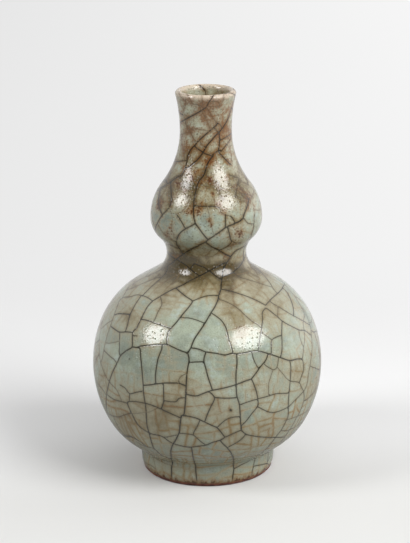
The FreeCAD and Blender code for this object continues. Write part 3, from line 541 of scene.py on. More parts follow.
def add_levels(s):
    """Adds the heights and the curves that follow from the sizes."""
    s.waist_level = s.belly_level + s.shoulder_rise
    s.bulb_level = s.waist_level + s.bulb_rise
    s.throat_level = s.bulb_level + s.neck_rise
    s.mouth_level = s.throat_level + s.mouth_rise
    s.lip_radius = s.neck_radius + s.mouth_flare - s.lip_thickness / 2
    s.lip_level = s.mouth_level - s.lip_thickness / 2
    slope = (math.cos(s.shoulder_angle), math.sin(s.shoulder_angle))
    start = (s.belly_radius * slope[0], s.belly_level + s.belly_radius * slope[1])
    hollow = (s.waist_radius + s.waist_curve, s.waist_level)
    s.shoulder_curve = bend_that_fits(start, slope, hollow, s.waist_curve) * s.shoulder_share
    corner = foot_corner(s, 0)[0]
    widest = (s.belly_radius, s.belly_level)
    one_arc = bend_that_fits(widest, (1, 0), corner, s.foot_fillet)
    s.underbelly_curve = one_arc * s.underbelly_share
    turn = math.atan((s.belly_level - corner[1]) / (corner[0] + one_arc - s.belly_radius))
    s.heel_angle = turn * s.heel_start_share
    slope = (math.cos(s.heel_angle), -math.sin(s.heel_angle))
    start = (s.belly_radius - s.underbelly_curve * (1 - slope[0]),
             s.belly_level + s.underbelly_curve * slope[1])
    s.heel_curve = bend_that_fits(start, slope, corner, s.foot_fillet) * s.heel_share
    return s


def foot_corner(s, depth):
    """Centre of the fillet over the foot and the point where it meets the foot wall."""
    meet = (wall_radius(s, depth, s.foot_height), s.foot_height)
    curve = s.foot_fillet + depth
    return (meet[0] + curve * math.cos(s.foot_taper), meet[1] - curve * math.sin(s.foot_taper)), meet


def wall_radius(s, depth, height):
    """Radius of the foot wall at a height, at some depth under its glazed surface."""
    return s.foot_rim_radius + height * math.tan(s.foot_taper) - depth / math.cos(s.foot_taper)


def draw_upper(section, s, depth, lip_reach, inside):
    """Lip, neck, small bulb, waist, shoulder and belly, down to the widest part."""
    neck = s.neck_radius - depth["neck"]
    bulb = s.bulb_radius - depth["bulb"]
    waist = s.waist_radius - depth["waist"]
    belly = s.belly_radius - depth["belly"]
    lip = (s.lip_radius, s.lip_level)
    side = 1 if inside else -1

    # lip and flare
    back = neck - lip[0]
    drop = lip[1] - s.throat_level
    flare = (back ** 2 + drop ** 2 - lip_reach ** 2) / (-2 * (back + side * lip_reach))
    flare_centre = (neck + flare, s.throat_level)
    lean = bearing(lip, flare_centre)
    touch = lean + math.pi if inside else lean
    section.arc(lip, lip_reach, math.pi / 2, touch)
    section.arc(flare_centre, flare, lean + math.pi, math.pi)

    # neck and upper side of the small bulb
    run = bulb - neck
    both = (run ** 2 + s.neck_rise ** 2) / (2 * run)
    over = both * s.bulb_over_share - depth["bulb"]
    lean = math.atan2(s.neck_rise, both - run)
    section.arc((neck + both - over, s.throat_level), both - over, math.pi, math.pi + lean)
    section.arc((bulb - over, s.bulb_level), over, lean, 0)

    # underside of the small bulb and the waist
    run = bulb - waist
    both = (run ** 2 + s.bulb_rise ** 2) / (2 * run)
    under = both * s.bulb_under_share - depth["bulb"]
    lean = math.atan2(s.bulb_rise, both - run)
    section.arc((bulb - under, s.bulb_level), under, 0, -lean)
    section.arc((waist + both - under, s.waist_level), both - under, math.pi - lean, math.pi)

    # waist, straight slope, shoulder and belly
    bend = s.waist_curve + depth["waist"]
    shoulder = s.shoulder_curve - depth["belly"]
    bend_centre = (waist + bend, s.waist_level)
    gap = belly - shoulder
    shoulder_centre = (gap * math.cos(s.shoulder_angle), s.belly_level + gap * math.sin(s.shoulder_angle))
    low, high = crossing_tangent(shoulder_centre, shoulder, bend_centre, bend, -1)
    section.arc(bend_centre, bend, math.pi, bearing(bend_centre, high) % WHOLE_TURN)
    section.line(*low)
    section.arc(shoulder_centre, shoulder, bearing(shoulder_centre, low), s.shoulder_angle)
    section.arc((0, s.belly_level), belly, s.shoulder_angle, 0)


def draw_outer(s, depth, lip_reach, foot_points):
    """The outside of the vase at some depth under the glaze, down to the points that end its foot."""
    section = Section()
    draw_upper(section, s, dict.fromkeys(WALLS, depth), lip_reach, inside=False)
    under = s.underbelly_curve - depth
    heel = s.heel_curve - depth
    under_centre = (s.belly_radius - s.underbelly_curve, s.belly_level)
    slope = (math.cos(s.heel_angle), math.sin(s.heel_angle))
    leave = (under_centre[0] + under * slope[0], under_centre[1] - under * slope[1])
    heel_centre = (leave[0] - heel * slope[0], leave[1] + heel * slope[1])
    corner, meet = foot_corner(s, depth)
    fillet = s.foot_fillet + depth
    high, low = crossing_tangent(heel_centre, heel, corner, fillet, 1)
    section.arc(under_centre, under, 0, -s.heel_angle)
    section.arc(heel_centre, heel, -s.heel_angle, bearing(heel_centre, high))
    section.line(*low)
    section.arc(corner, fillet, bearing(corner, low), bearing(corner, meet))
    for point in foot_points:
        section.line(*point)
    return section.points


def draw_inner(s, depth, lip_reach, floor_level, centre_radius):
    """The inside of the vase, down to a small circle on its floor."""
    section = Section()
    draw_upper(section, s, depth, lip_reach, inside=True)
    belly = s.belly_radius - depth["belly"]
    under = s.underbelly_curve - depth["belly"]
    under_centre = (belly - under, s.belly_level)
    drop = s.belly_level - floor_level - s.floor_corner
    lean = math.asin(drop / (under - s.floor_corner))
    corner = (under_centre[0] + (under - s.floor_corner) * math.cos(lean), floor_level + s.floor_corner)
    section.arc(under_centre, under, 0, -lean)
    section.arc(corner, s.floor_corner, -lean, -math.pi / 2)
    section.line(centre_radius, floor_level)
    return section.points


def draw_recess(s, depth, centre_radius):
    """The hollow under the base, from the foot rim up to a small circle on its ceiling."""
    radius = recess_radius(s) - depth
    ceiling = s.base_level - depth
    section = Section()
    section.points.append((radius, s.wash_height, Section.STRAIGHT))
    section.line(radius, ceiling - s.recess_corner)
    centre = (radius - s.recess_corner, ceiling - s.recess_corner)
    section.arc(centre, s.recess_corner, 0, math.pi / 2)
    section.line(centre_radius, ceiling)
    return section.points


def recess_radius(s):
    return wall_radius(s, s.outer_glaze, s.wash_thickness) - s.foot_wall


class Surface:
    """A turned surface laid flat so that every angle stays true.

    A place on it is its turn about the axis, 0 in front and growing to the right, and its drop, the way
    from the crest measured in local radii.
    """

    # spacing of the rows where the section bends: as a share of the bend's radius, and the least one
    SHARPEST = 0.22
    FINEST = 0.28

    def __init__(self, points, end_is_edge=False):
        self.end_is_edge = end_is_edge
        points = np.array(points)
        steps = np.hypot(*np.diff(points[:, :2], axis=0).T)
        points = points[np.concatenate(([True], steps > 1e-6))]
        self.radii, self.levels, self.curves = points.T
        steps = np.hypot(np.diff(self.radii), np.diff(self.levels))
        middles = (self.radii[1:] + self.radii[:-1]) / 2
        self.runs = np.concatenate(([0], np.cumsum(steps)))
        self.drops = np.concatenate(([0], np.cumsum(steps / middles)))
        self.end = self.drops[-1]

    def radius(self, drop):
        return np.interp(drop, self.drops, self.radii)

    def level(self, drop):
        return np.interp(drop, self.drops, self.levels)

    def drop_at(self, level):
        """Drop of a level, on a surface that only falls."""
        return np.interp(-level, -self.levels, self.drops)

    def place(self, turns, drops):
        radius = self.radius(drops)
        return np.stack([radius * np.sin(turns), -radius * np.cos(turns), self.level(drops)], axis=-1)

    def rows(self, pitch):
        """Drops of the rows of points, closer together where the section bends tightly."""
        runs = [0.0]
        while runs[-1] < self.runs[-1]:
            curve = np.interp(runs[-1], self.runs, self.curves)
            runs.append(runs[-1] + min(max(self.SHARPEST * curve, self.FINEST), pitch))
        runs = np.array(runs) * self.runs[-1] / runs[-1]
        return np.interp(runs, self.runs, self.drops)


def smooth_route(points, longest):
    """A smooth line through a few points, in steps no longer than the longest one."""
    points = np.asarray(points, dtype=float)
    if len(points) == 2:
        points = np.array([points[0], (points[0] + points[1]) / 2, points[1]])
    padded = np.concatenate(([2 * points[0] - points[1]], points, [2 * points[-1] - points[-2]]))
    route = [points[0]]
    for k in range(len(points) - 1):
        before, here, there, after = padded[k:k + 4]
        count = max(1, math.ceil(np.linalg.norm(there - here) / longest))
        for step in range(1, count + 1):
            part = step / count
            route.append(0.5 * (2 * here + (there - before) * part
                                + (2 * before - 5 * here + 4 * there - after) * part ** 2
                                + (3 * here - before - 3 * there + after) * part ** 3))
    return np.array(route)


class CrackNet:
    """The cracks of one surface: where they run and how dark they are."""

    # millimetres: a step of growth, gaps at which a crack joins another, and the room left at an edge
    STEP = 0.9
    SNAP = 0.75
    JOIN = 1.5
    EDGE_ROOM = 3.5
    # radians at each step of growth: the wobble, and the most that a crack turns towards another or towards
    # the directions of the fine crackle
    WOBBLE = 0.035
    STEER = 0.16
    SQUARE_STEER = 0.05
    # what lies within this angle of the heading lies ahead
    AHEAD = 1.5
    # points that the search tree holds for each step of a crack
    DENSITY = 4
    # samples are compared with this many points of cracks at a time
    CHUNK = 400
    # the gap from a sample to the nearest crack, as long as there is none
    NO_CRACK = 1e9
    # how far a traced crack grows on from its loose end, and the turn beyond which that is the side
    FRONT_REACH = 6
    SIDE_REACH = 45
    SIDE = math.radians(52)
    # size of the patches in which the fine crackle keeps one direction
    PATCH = 16

    def __init__(self, surface, seed, older=None):
        """older is a net whose cracks these ones start from and end on.

        A crack grows at most by the reach, turns towards others within the sense, and meets none before
        it has come out of the blind stretch. All three are in millimetres.
        """
        self.surface = surface
        self.random = random.Random(seed)
        self.lines = []
        self.tones = []
        self.turns = older.turns if older else np.empty((0, 2))
        self.places = older.places if older else np.empty((0, 3))
        self.reach = 22.0 if older else 60.0
        self.sense = 1.8 if older else 4.0
        self.blind = 0.8 if older else 2.2
        self.faintest = 0.25 if older else 0.55
        self.squared = bool(older)

    def add(self, line, tone):
        self.lines.append(np.asarray(line))
        self.tones.append(tone)
        self.turns = np.concatenate((self.turns, line))
        self.places = np.concatenate((self.places, self.surface.place(line[:, 0], line[:, 1])))

    def add_traced(self, routes):
        """Adds routes over the surface, and joins each end to the crack that it all but touches."""
        for tone, points in routes:
            radius = self.surface.radius(points[:, 1]).mean()
            self.add(smooth_route(points, self.STEP / radius), tone)
        loose = [(number, end) for number, line in enumerate(self.lines) for end in (0, -1)
                 if not self.join_end(number, line, end)]
        self.turns = np.concatenate(self.lines)
        self.places = self.surface.place(self.turns[:, 0], self.turns[:, 1])
        for number, end in loose:
            self.extend(number, end)

    def extend(self, number, end):
        """Grows a loose end: on to the next crack in front, and round to the back at the sides."""
        line = self.lines[number] if end else self.lines[number][::-1]
        step = line[-1] - line[-3]
        aside = abs(line[-1, 0]) > self.SIDE
        longest = self.SIDE_REACH if aside else self.FRONT_REACH
        path, met = self.grow(line[-1], math.atan2(step[1], step[0]), longest, 0)
        if met or aside:
            self.add(path, self.tones[number])

    def join_end(self, number, line, end):
        best, where = self.JOIN / self.surface.radius(line[end, 1]), None
        for other, route in enumerate(self.lines):
            if other == number:
                continue
            start, step = route[:-1], np.diff(route, axis=0)
            part = np.clip(((line[end] - start) * step).sum(1) / (step ** 2).sum(1), 0, 1)
            nearest = start + step * part[:, None]
            gaps = np.linalg.norm(nearest - line[end], axis=1)
            k = gaps.argmin()
            if gaps[k] < best:
                best, where = gaps[k], nearest[k]
        if where is not None:
            line[end] = where
        return where is not None

    def grow(self, start, heading, longest, bend):
        """Grows a crack from a place until it meets another one or the surface ends, and says if it did."""
        here = np.array(start, dtype=float)
        path = [here]
        near = np.linalg.norm(self.places - self.surface.place(*here), axis=1) < longest + 5
        turns, places = self.turns[near], self.places[near]
        travelled = 0.0
        while travelled < longest:
            heading += bend * self.STEP + self.random.gauss(0, self.WOBBLE)
            if self.squared:
                heading = self.steered(heading, self.square(here, heading), self.SQUARE_STEER)
            step = self.STEP / self.surface.radius(here[1])
            here = here + step * np.array([math.cos(heading), math.sin(heading)])
            travelled += self.STEP
            if not 0 < here[1] < self.surface.end:
                here[1] = min(max(here[1], 0.0), self.surface.end)
                path.append(here)
                return np.array(path), True
            room = (self.surface.end - here[1]) * self.surface.radius(here[1])
            if room < self.EDGE_ROOM and self.surface.end_is_edge:
                heading = self.steered(heading, math.pi / 2)
            if travelled > self.blind and len(places):
                gaps = np.linalg.norm(places - self.surface.place(*here), axis=1)
                k = gaps.argmin()
                shift = WHOLE_TURN * round((here[0] - turns[k, 0]) / WHOLE_TURN)
                target = turns[k] + (shift, 0)
                if gaps[k] < self.SNAP:
                    path.append(target)
                    return np.array(path), True
                if gaps[k] < self.sense:
                    heading = self.steered(heading, math.atan2(target[1] - here[1], target[0] - here[0]))
            path.append(here)
        return np.array(path), False

    def steered(self, heading, wanted, most=STEER):
        """The heading turned a little towards a wanted one, if that lies ahead."""
        swing = (wanted - heading + HALF_TURN) % WHOLE_TURN - HALF_TURN
        return heading + max(-most, min(most, swing)) if abs(swing) < self.AHEAD else heading

    def square(self, here, heading):
        """The nearest of the two directions in which the fine crackle likes to run."""
        lean = 0.6 * noise.noise(Vector(self.surface.place(*here)) / self.PATCH)
        return round((heading - lean) / (math.pi / 2)) * math.pi / 2 + lean

    def fill(self, targets, samples):
        """Adds cracks until no sample is farther from one than its target, or than one target for all."""
        targets = targets + np.zeros(len(samples))
        places = self.surface.place(samples[:, 0], samples[:, 1])
        gaps = np.full(len(samples), self.NO_CRACK)
        for chunk in range(0, len(self.places), self.CHUNK):
            part = self.places[chunk:chunk + self.CHUNK]
            gaps = np.minimum(gaps, np.linalg.norm(places[:, None] - part[None], axis=2).min(1))
        while True:
            k = (gaps / targets).argmax()
            if gaps[k] < targets[k]:
                return
            path = self.bridge(samples[k], places[k]) if self.squared else self.towards(samples[k], places[k])
            tone = min(1.0, self.random.uniform(self.faintest, 1.05))
            if gaps[k] < 1.3 * targets[k]:
                tone *= self.random.uniform(0.5, 1.0)
            self.add(path, tone)
            new = self.surface.place(path[:, 0], path[:, 1])
            middle = (new.min(0) + new.max(0)) / 2
            room = (new.max(0) - new.min(0)) / 2 + 3 * targets.max()
            near = np.where((abs(places - middle) < room).all(1))[0]
            gaps[near] = np.minimum(gaps[near], np.linalg.norm(places[near, None] - new[None], axis=2).min(1))
            gaps[k] = 0

    def nearest(self, sample, place):
        """The nearest point of a crack, and the heading from there to a place."""
        start = self.turns[np.linalg.norm(self.places - place, axis=1).argmin()]
        shift = WHOLE_TURN * round((sample[0] - start[0]) / WHOLE_TURN)
        start = start + (shift, 0)
        return start, math.atan2(sample[1] - start[1], sample[0] - start[0])

    def towards(self, sample, place):
        """A crack from the nearest older one past a place."""
        start, heading = self.nearest(sample, place)
        heading += self.random.gauss(0, 0.12)
        return self.grow(start, heading, self.reach, self.random.gauss(0, 0.012))[0]

    def bridge(self, sample, place):
        """A crack that runs through a place, from the nearest crack to the one beyond."""
        heading = self.square(sample, self.nearest(sample, place)[1]) + self.random.gauss(0, 0.25)
        bend = self.random.gauss(0, 0.03)
        ahead = self.grow(sample, heading, self.reach, bend)[0]
        behind = self.grow(sample, heading + math.pi, self.reach, -bend)[0]
        return np.concatenate((behind[:0:-1], ahead))

    def pieces(self):
        """The cracks cut where they cross the back, each part inside one turn."""
        cut = []
        for line in self.lines:
            bands = np.floor((line[:, 0] + HALF_TURN) / WHOLE_TURN)
            part = [line[0] - (bands[0] * WHOLE_TURN, 0)]
            for k in range(1, len(line)):
                if bands[k] != bands[k - 1]:
                    edge = HALF_TURN if bands[k] > bands[k - 1] else -HALF_TURN
                    last = part[-1]
                    there = line[k] - (bands[k - 1] * WHOLE_TURN, 0)
                    share_of_step = (edge - last[0]) / (there[0] - last[0])
                    drop = last[1] + (there[1] - last[1]) * share_of_step
                    part.append(np.array([edge, drop]))
                    cut.append(np.array(part))
                    part = [np.array([-edge, drop])]
                part.append(line[k] - (bands[k] * WHOLE_TURN, 0))
            cut.append(np.array(part))
        return cut

    def tree(self):
        """A search tree over points close together along every crack, and each point's darkness."""
        places, tones = [], []
        for line, tone in zip(self.lines, self.tones):
            count = self.DENSITY * (len(line) - 1) + 1
            at = np.linspace(0, len(line) - 1, count)
            turns = np.interp(at, range(len(line)), line[:, 0])
            drops = np.interp(at, range(len(line)), line[:, 1])
            places.append(self.surface.place(turns, drops))
            tones.append(np.full(count, tone))
        places, tones = np.concatenate(places), np.concatenate(tones)
        tree = kdtree.KDTree(len(places))
        for k, place in enumerate(places):
            tree.insert(place, k)
        tree.balance()
        return tree, tones


def sheet_points(surface, pitch, rims):
    """Rows of points over a surface laid flat. rims can hold the turns of the first and the last row."""
    drops = surface.rows(pitch)
    rows = []
    for number, drop in enumerate(drops):
        if rims and number in (0, len(drops) - 1):
            turns = rims[0 if number == 0 else 1]
        else:
            count = max(24, round(WHOLE_TURN * surface.radius(drop) / pitch))
            step = WHOLE_TURN / count
            turns = -HALF_TURN + step * (np.arange(count) + (number % 2) / 2)
            turns = turns[(turns > -HALF_TURN + 0.4 * step) & (turns < HALF_TURN - 0.4 * step)]
            turns = np.concatenate(([-HALF_TURN], turns, [HALF_TURN]))
        rows.append(np.stack([turns, np.full(len(turns), drop)], axis=1))
    return np.concatenate(rows)


def owners_at_back(flat):
    """Which point each one becomes: those of both edges of the sheet that meet at the back are one."""
    edge = np.where(abs(flat[:, 0]) > HALF_TURN - ON_EDGE)[0]
    edge = edge[np.argsort(flat[edge, 1])]
    owner = np.arange(len(flat))
    for before, after in zip(edge, edge[1:]):
        if flat[after, 1] - flat[before, 1] < SAME_DROP:
            owner[after] = owner[before]
    flat[edge, 0] = -HALF_TURN
    return owner


def flat_mesh(surface, pitch, nets=(), trees=(), rims=None):
    """Triangulates a surface in rows, with every crack as a chain of edges.

    Gives the turns, drops and triangles, the first and last rows' vertices and, for each net, the pairs
    of vertices along its cracks. Points close to a crack make room for it.
    """
    points = sheet_points(surface, pitch, rims)
    inner = (points[:, 1] > 0) & (points[:, 1] < surface.end) & (abs(points[:, 0]) < HALF_TURN)
    for tree, _ in trees:
        places = surface.place(points[:, 0], points[:, 1])
        keep = [not inner[k] or tree.find(places[k])[2] > CRACK_ROOM * pitch for k in range(len(points))]
        points, inner = points[keep], inner[keep]
    lines, edges, kinds, count = [points], [], [], len(points)
    for kind, net in enumerate(nets):
        for line in net.pieces():
            lines.append(line)
            edges += [(count + k, count + k + 1) for k in range(len(line) - 1)]
            kinds += [kind] * (len(line) - 1)
            count += len(line)
    vectors = [Vector(point) for point in np.concatenate(lines) * SHEET_SCALE]
    triangulate = partial(geometry.delaunay_2d_cdt, vectors, edges, [], 0, SHEET_TOLERANCE, True)
    made, made_edges, faces, _, sources, _ = triangulate()
    if nets:
        vectors += bridges(made, made_edges, faces, [{kinds[k] for k in source} for source in sources])
        made, made_edges, faces, _, sources, _ = triangulate()
    flat = np.array([(v.x, v.y) for v in made]) / SHEET_SCALE
    flat[abs(flat[:, 1]) < ON_EDGE, 1] = 0
    flat[abs(flat[:, 1] - surface.end) < ON_EDGE, 1] = surface.end
    owner = owners_at_back(flat)
    faces = owner[np.array([tuple(face) for face in faces])]
    whole = (faces[:, 0] != faces[:, 1]) & (faces[:, 1] != faces[:, 2]) & (faces[:, 2] != faces[:, 0])
    chains = [set() for _ in nets]
    for (a, b), source in zip(made_edges, sources):
        if owner[a] != owner[b]:
            for k in source:
                chains[kinds[k]].add((min(owner[a], owner[b]), max(owner[a], owner[b])))
    ends = []
    for drop in (0.0, surface.end):
        rim = np.unique(owner[flat[:, 1] == drop])
        ends.append(rim[np.argsort(flat[rim, 0])])
    return flat, faces[whole], ends, chains


def sides(face):
    """The three sides of a triangle, each with its lower vertex first."""
    return [(min(pair), max(pair)) for pair in zip(face, (face[1], face[2], face[0]))]


def bridges(points, edges, faces, kinds):
    """Middles of the edges that would run like a false crack from one crack to another."""
    on_crack = [set() for _ in points]
    chains = set()
    for (a, b), kind in zip(edges, kinds):
        if kind:
            chains.add((min(a, b), max(a, b)))
            on_crack[a] |= kind
            on_crack[b] |= kind
    middles = {}
    for face in faces:
        for a, b in sides(face):
            if on_crack[a] & on_crack[b] and (a, b) not in chains:
                middles[a, b] = (points[a] + points[b]) / 2
    return list(middles.values())


def cells_of(faces, chains, seed):
    """A number from 0 to 1 for each triangle, the same all over one crackle cell."""
    parent = list(range(len(faces)))

    def root(k):
        while parent[k] != k:
            parent[k] = parent[parent[k]]
            k = parent[k]
        return k

    seen = {}
    for number, face in enumerate(faces):
        for pair in sides(face):
            if pair in chains:
                continue
            if pair in seen:
                parent[root(number)] = root(seen[pair])
            else:
                seen[pair] = number
    rng = random.Random(seed)
    tint = {}
    return [tint.setdefault(root(k), rng.random()) for k in range(len(faces))]


def fan(loop, hub):
    """Triangles from a loop of points to a hub."""
    return [(loop[k], loop[(k + 1) % len(loop)], hub) for k in range(len(loop))]


def strip(rim, other):
    """Triangles of the narrow strip between two rims with as many points."""
    triangles = []
    for k in range(len(rim)):
        after = (k + 1) % len(rim)
        triangles.append((rim[k], rim[after], other[after]))
        triangles.append((rim[k], other[after], other[k]))
    return triangles


def crack_values(places, count, number, trees, chains):
    """The gap to the nearest crack of each net and how dark that is, at each point of a skin."""
    values = {}
    for label, (tree, tones), pairs in zip(("crack", "net"), trees, chains):
        gaps = np.full(count, AWAY)
        shades = np.zeros(count)
        for k, place in enumerate(places):
            _, nearest, gap = tree.find(place)
            gaps[k] = min(gap, AWAY)
            shades[k] = tones[nearest]
        gaps[number[np.array(sorted({v for pair in pairs for v in pair}), dtype=int)]] = 0
        values[label + "_gap"] = gaps
        values[label + "_tone"] = shades
    return values


def glaze_skin(name, front, back, nets, pitch, back_pitch, to_centre, marks):
    """Makes a closed skin of glaze between a visible surface and the clay under it.

    nets are the cracks and the fine crackle. to_centre closes both surfaces on the axis. marks gives the
    stain, with any painted shade, and the rust at each visible place.
    """
    trees = [net.tree() for net in nets]
    flat, faces, ends, chains = flat_mesh(front, pitch, nets, trees)
    rims = [np.append(flat[end, 0], HALF_TURN) for end in ends]
    back_flat, back_faces, back_ends, _ = flat_mesh(back, back_pitch, rims=rims)
    used = np.unique(faces)
    back_used = np.unique(back_faces)
    number = np.full(len(flat), -1)
    number[used] = np.arange(len(used))
    back_number = np.full(len(back_flat), -1)
    back_number[back_used] = np.arange(len(back_used)) + len(used)
    places = front.place(*flat[used].T)
    points = [*places, *back.place(*back_flat[back_used].T)]
    triangles = [tuple(number[f]) for f in faces] + [tuple(back_number[f][::-1]) for f in back_faces]
    tints = cells_of(faces, chains[0], 5)
    top, bottom = ((number[end], back_number[back_end]) for end, back_end in zip(ends, back_ends))
    triangles += strip(*top)
    if to_centre:
        for loop, surface in zip(bottom, (front, back)):
            triangles += fan(loop, len(points))
            points.append(np.array([0, 0, surface.levels[-1]]))
    else:
        triangles += strip(*bottom)
    mesh = bpy.data.meshes.new(name)
    mesh.from_pydata([Vector(p) * MM for p in points], [], triangles)
    work = bmesh.new()
    work.from_mesh(mesh)
    bmesh.ops.recalc_face_normals(work, faces=work.faces)
    work.to_mesh(mesh)
    work.free()

    values = crack_values(places, len(points), number, trees, chains)
    values["stain"] = np.full(len(points), 0.5)
    values["rust"] = np.zeros(len(points))
    values["stain"][:len(used)], values["rust"][:len(used)] = marks(places, flat[used, 0])
    for label, numbers in values.items():
        mesh.attributes.new(label, "FLOAT", "POINT").data.foreach_set("value", numbers)
    tints += [0.5] * (len(triangles) - len(tints))
    mesh.attributes.new("cell_tint", "FLOAT", "FACE").data.foreach_set("value", tints)
    piece = bpy.data.objects.new(name, mesh)
    bpy.context.scene.collection.objects.link(piece)
    smooth(piece)
    return piece


def select_only(piece):
    bpy.ops.object.select_all(action="DESELECT")
    piece.select_set(True)
    bpy.context.view_layer.objects.active = piece


def smooth(piece):
    """Smooth shading that keeps the sharp edges."""
    select_only(piece)
    bpy.ops.object.shade_smooth_by_angle(angle=SHARP_ANGLE)


def camera_matrix(studio):
    turn = Matrix.Rotation(studio.tilt, 4, "X") @ Matrix.Rotation(-studio.roll, 4, "Z")
    return Matrix.Translation((studio.side, -studio.distance, studio.height)) @ turn


class Sight:
    """Sees the vase as the camera does: finds what a pixel shows and where a place appears."""

    def __init__(self, studio, node):
        self.matrix = camera_matrix(studio)
        self.focal = studio.lens / SENSOR * PHOTO_HEIGHT
        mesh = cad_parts[node].data
        corners = [vertex.co for vertex in mesh.vertices]
        self.tree = BVHTree.FromPolygons(corners, [face.vertices[:] for face in mesh.polygons])

    def hit(self, across, down):
        """What a pixel shows, in millimetres."""
        ray = Vector(((across - PHOTO_WIDTH / 2) / self.focal, (PHOTO_HEIGHT / 2 - down) / self.focal, -1))
        found = self.tree.ray_cast(self.matrix.translation, self.matrix.to_3x3() @ ray)[0]
        return None if found is None else found / MM

    def pixels(self, places):
        """Where places in millimetres appear."""
        inverse = np.array(self.matrix.inverted())
        seen = (places * MM) @ inverse[:3, :3].T + inverse[:3, 3]
        across = PHOTO_WIDTH / 2 - self.focal * seen[:, 0] / seen[:, 2]
        down = PHOTO_HEIGHT / 2 + self.focal * seen[:, 1] / seen[:, 2]
        return across, down


def traced(sight, surface, text):
    """The cracks of a text as routes over a surface, each with its darkness."""
    routes = []
    for crack in text.split(";")[:-1]:
        tone, *pixels = crack.split()
        route = []
        for pixel in pixels:
            found = sight.hit(*(float(number) for number in pixel.split(",")))
            if found is not None:
                route.append((math.atan2(found.x, -found.y), surface.drop_at(found.z)))
            elif route:
                break
        if len(route) > 1:
            routes.append((float(tone), np.array(route)))
    return routes


def sample_grid(surface, pitch):
    """Places spread evenly over a surface."""
    rows = []
    for number, drop in enumerate(surface.rows(pitch)[1:-1]):
        count = max(8, round(WHOLE_TURN * surface.radius(drop) / pitch))
        turns = -HALF_TURN + WHOLE_TURN / count * (np.arange(count) + (number % 2) / 2)
        rows.append(np.stack([turns, np.full(count, drop)], axis=1))
    return np.concatenate(rows)


def drift(places, size, shift):
    """Smooth random numbers around 0 over places in millimetres."""
    return np.array([noise.noise(Vector(p) / size + Vector((shift, shift, shift))) for p in places])


def cell_targets(surface, samples, look, shift):
    """Largest clear radius wanted at each sample: that of the large bulb, the neck's or one between."""
    levels = surface.level(samples[:, 1])
    share_of_neck = np.clip((levels - 85) / 70, 0, 1)
    targets = look.belly_cell * (1 - share_of_neck) + look.neck_cell * share_of_neck
    return targets * (1 + 0.5 * drift(surface.place(samples[:, 0], samples[:, 1]), 22, shift))


def ramp(value, low, high):
    """0 below low, 1 above high and smooth between."""
    part = np.clip((value - low) / (high - low), 0, 1)
    return part * part * (3 - 2 * part)


def band(levels, middle, spread):
    """1 at a level, fading above and below it."""
    return np.exp(-((levels - middle) / spread) ** 2)


def painted(text, across, down):
    """Soft spots of a list, added up at each place."""
    total = np.zeros(len(across))
    for spot in text.split():
        spot_across, spot_down, spread, weight = (float(number) for number in spot.split(","))
        apart = (across - spot_across) ** 2 + (down - spot_down) ** 2
        total += weight * np.exp(-apart / (2 * spread ** 2))
    return total


def outer_marks(sight):
    """Stain and rust on the outside, with painted shade just under the waist: as in the photograph in front,
    and alike elsewhere.
    """

    def marks(places, turns):
        across, down = sight.pixels(places)
        levels = places[:, 2]
        front = 1 - ramp(abs(turns), *FRONT_ENDS)
        upper = ramp(levels, 96, 118)
        neck = ramp(levels, 144, 158)
        base = 0.42
        # the first band, just under the waist, paints shade there as well as stain
        for middle, spread, weight in STAIN_AND_SHADE_BANDS:
            base = base + weight * band(levels, middle, spread)
        base = base - 0.15 * ramp(levels, 160, 174)
        # the listed spots just under the waist paint shade there as well as stain
        seen = 0.8 * painted(STAIN_AND_SHADE_PLACES, across, down)
        hidden = 0.8 * drift(places, 11, 3.7) + 0.4 * drift(places, 4.5, 8.1)
        stain = base + front * seen + (1 - front) * hidden
        rust = 0.12 * upper + 0.36 * neck + 0.1 * band(levels, *THROAT)
        rust = rust + front * painted(RUST_PLACES, across, down)
        rust += (1 - front) * upper * (0.5 * drift(places, 3.5, 1.3) + 0.4 * drift(places, 9, 4.3))
        return np.clip(stain, 0, 1.6), np.clip(rust, 0, 1.2)

    return marks


def inner_marks(places, turns, sight=None):
    """Stain and rust inside; in the mouth, the far side is darker on its right and paler on its left, as in
    the photograph.
    """
    stain = 0.38 + 0.6 * drift(places, 8, 5.2)
    if sight:
        shown = ramp(places[:, 2], 160, 166) * ramp(places[:, 1], -4, 2)
        stain += shown * painted(MOUTH_SPOTS, *sight.pixels(places))
    rust = 0.1 + 0.4 * drift(places, 5, 2.9)
    return np.clip(stain, 0, 1), np.clip(rust, 0, 1)


def pattern(size):
    """Scale of a pattern that repeats over a real size in millimetres."""
    return 1 / (size * MM)


def metres(*sizes):
    return [size * MM for size in sizes]


def add_node(tree, recipe, *values, **settings):
    """Adds a node by its recipe, sets or links its inputs in the recipe's order and gives its output."""
    kind, inputs, output, fixed = recipe
    node = tree.nodes.new("ShaderNode" + kind)
    for name, value in {**fixed, **settings}.items():
        setattr(node, name, value)
    for name, value in zip(inputs, values):
        if isinstance(value, bpy.types.NodeSocket):
            tree.links.new(value, node.inputs[name])
        else:
            node.inputs[name].default_value = value
    return node.outputs[output] if node.outputs else None


def emptied(owner):
    """Empties the node tree of a material or world and gives the function that adds nodes to it."""
    owner.use_nodes = True
    owner.node_tree.nodes.clear()
    return partial(add_node, owner.node_tree)


def layered(add, body, *layers):
    """Lays colours over a body colour: each layer is how much of it shows, and its colour."""
    for factor, paint in layers:
        body = add(BLEND, factor, body, paint)
    return body


def weighted(add, base, *parts):
    """Adds shares of several values to a base."""
    for value, factor in parts:
        base = add(PLUS, value, factor, base)
    return base


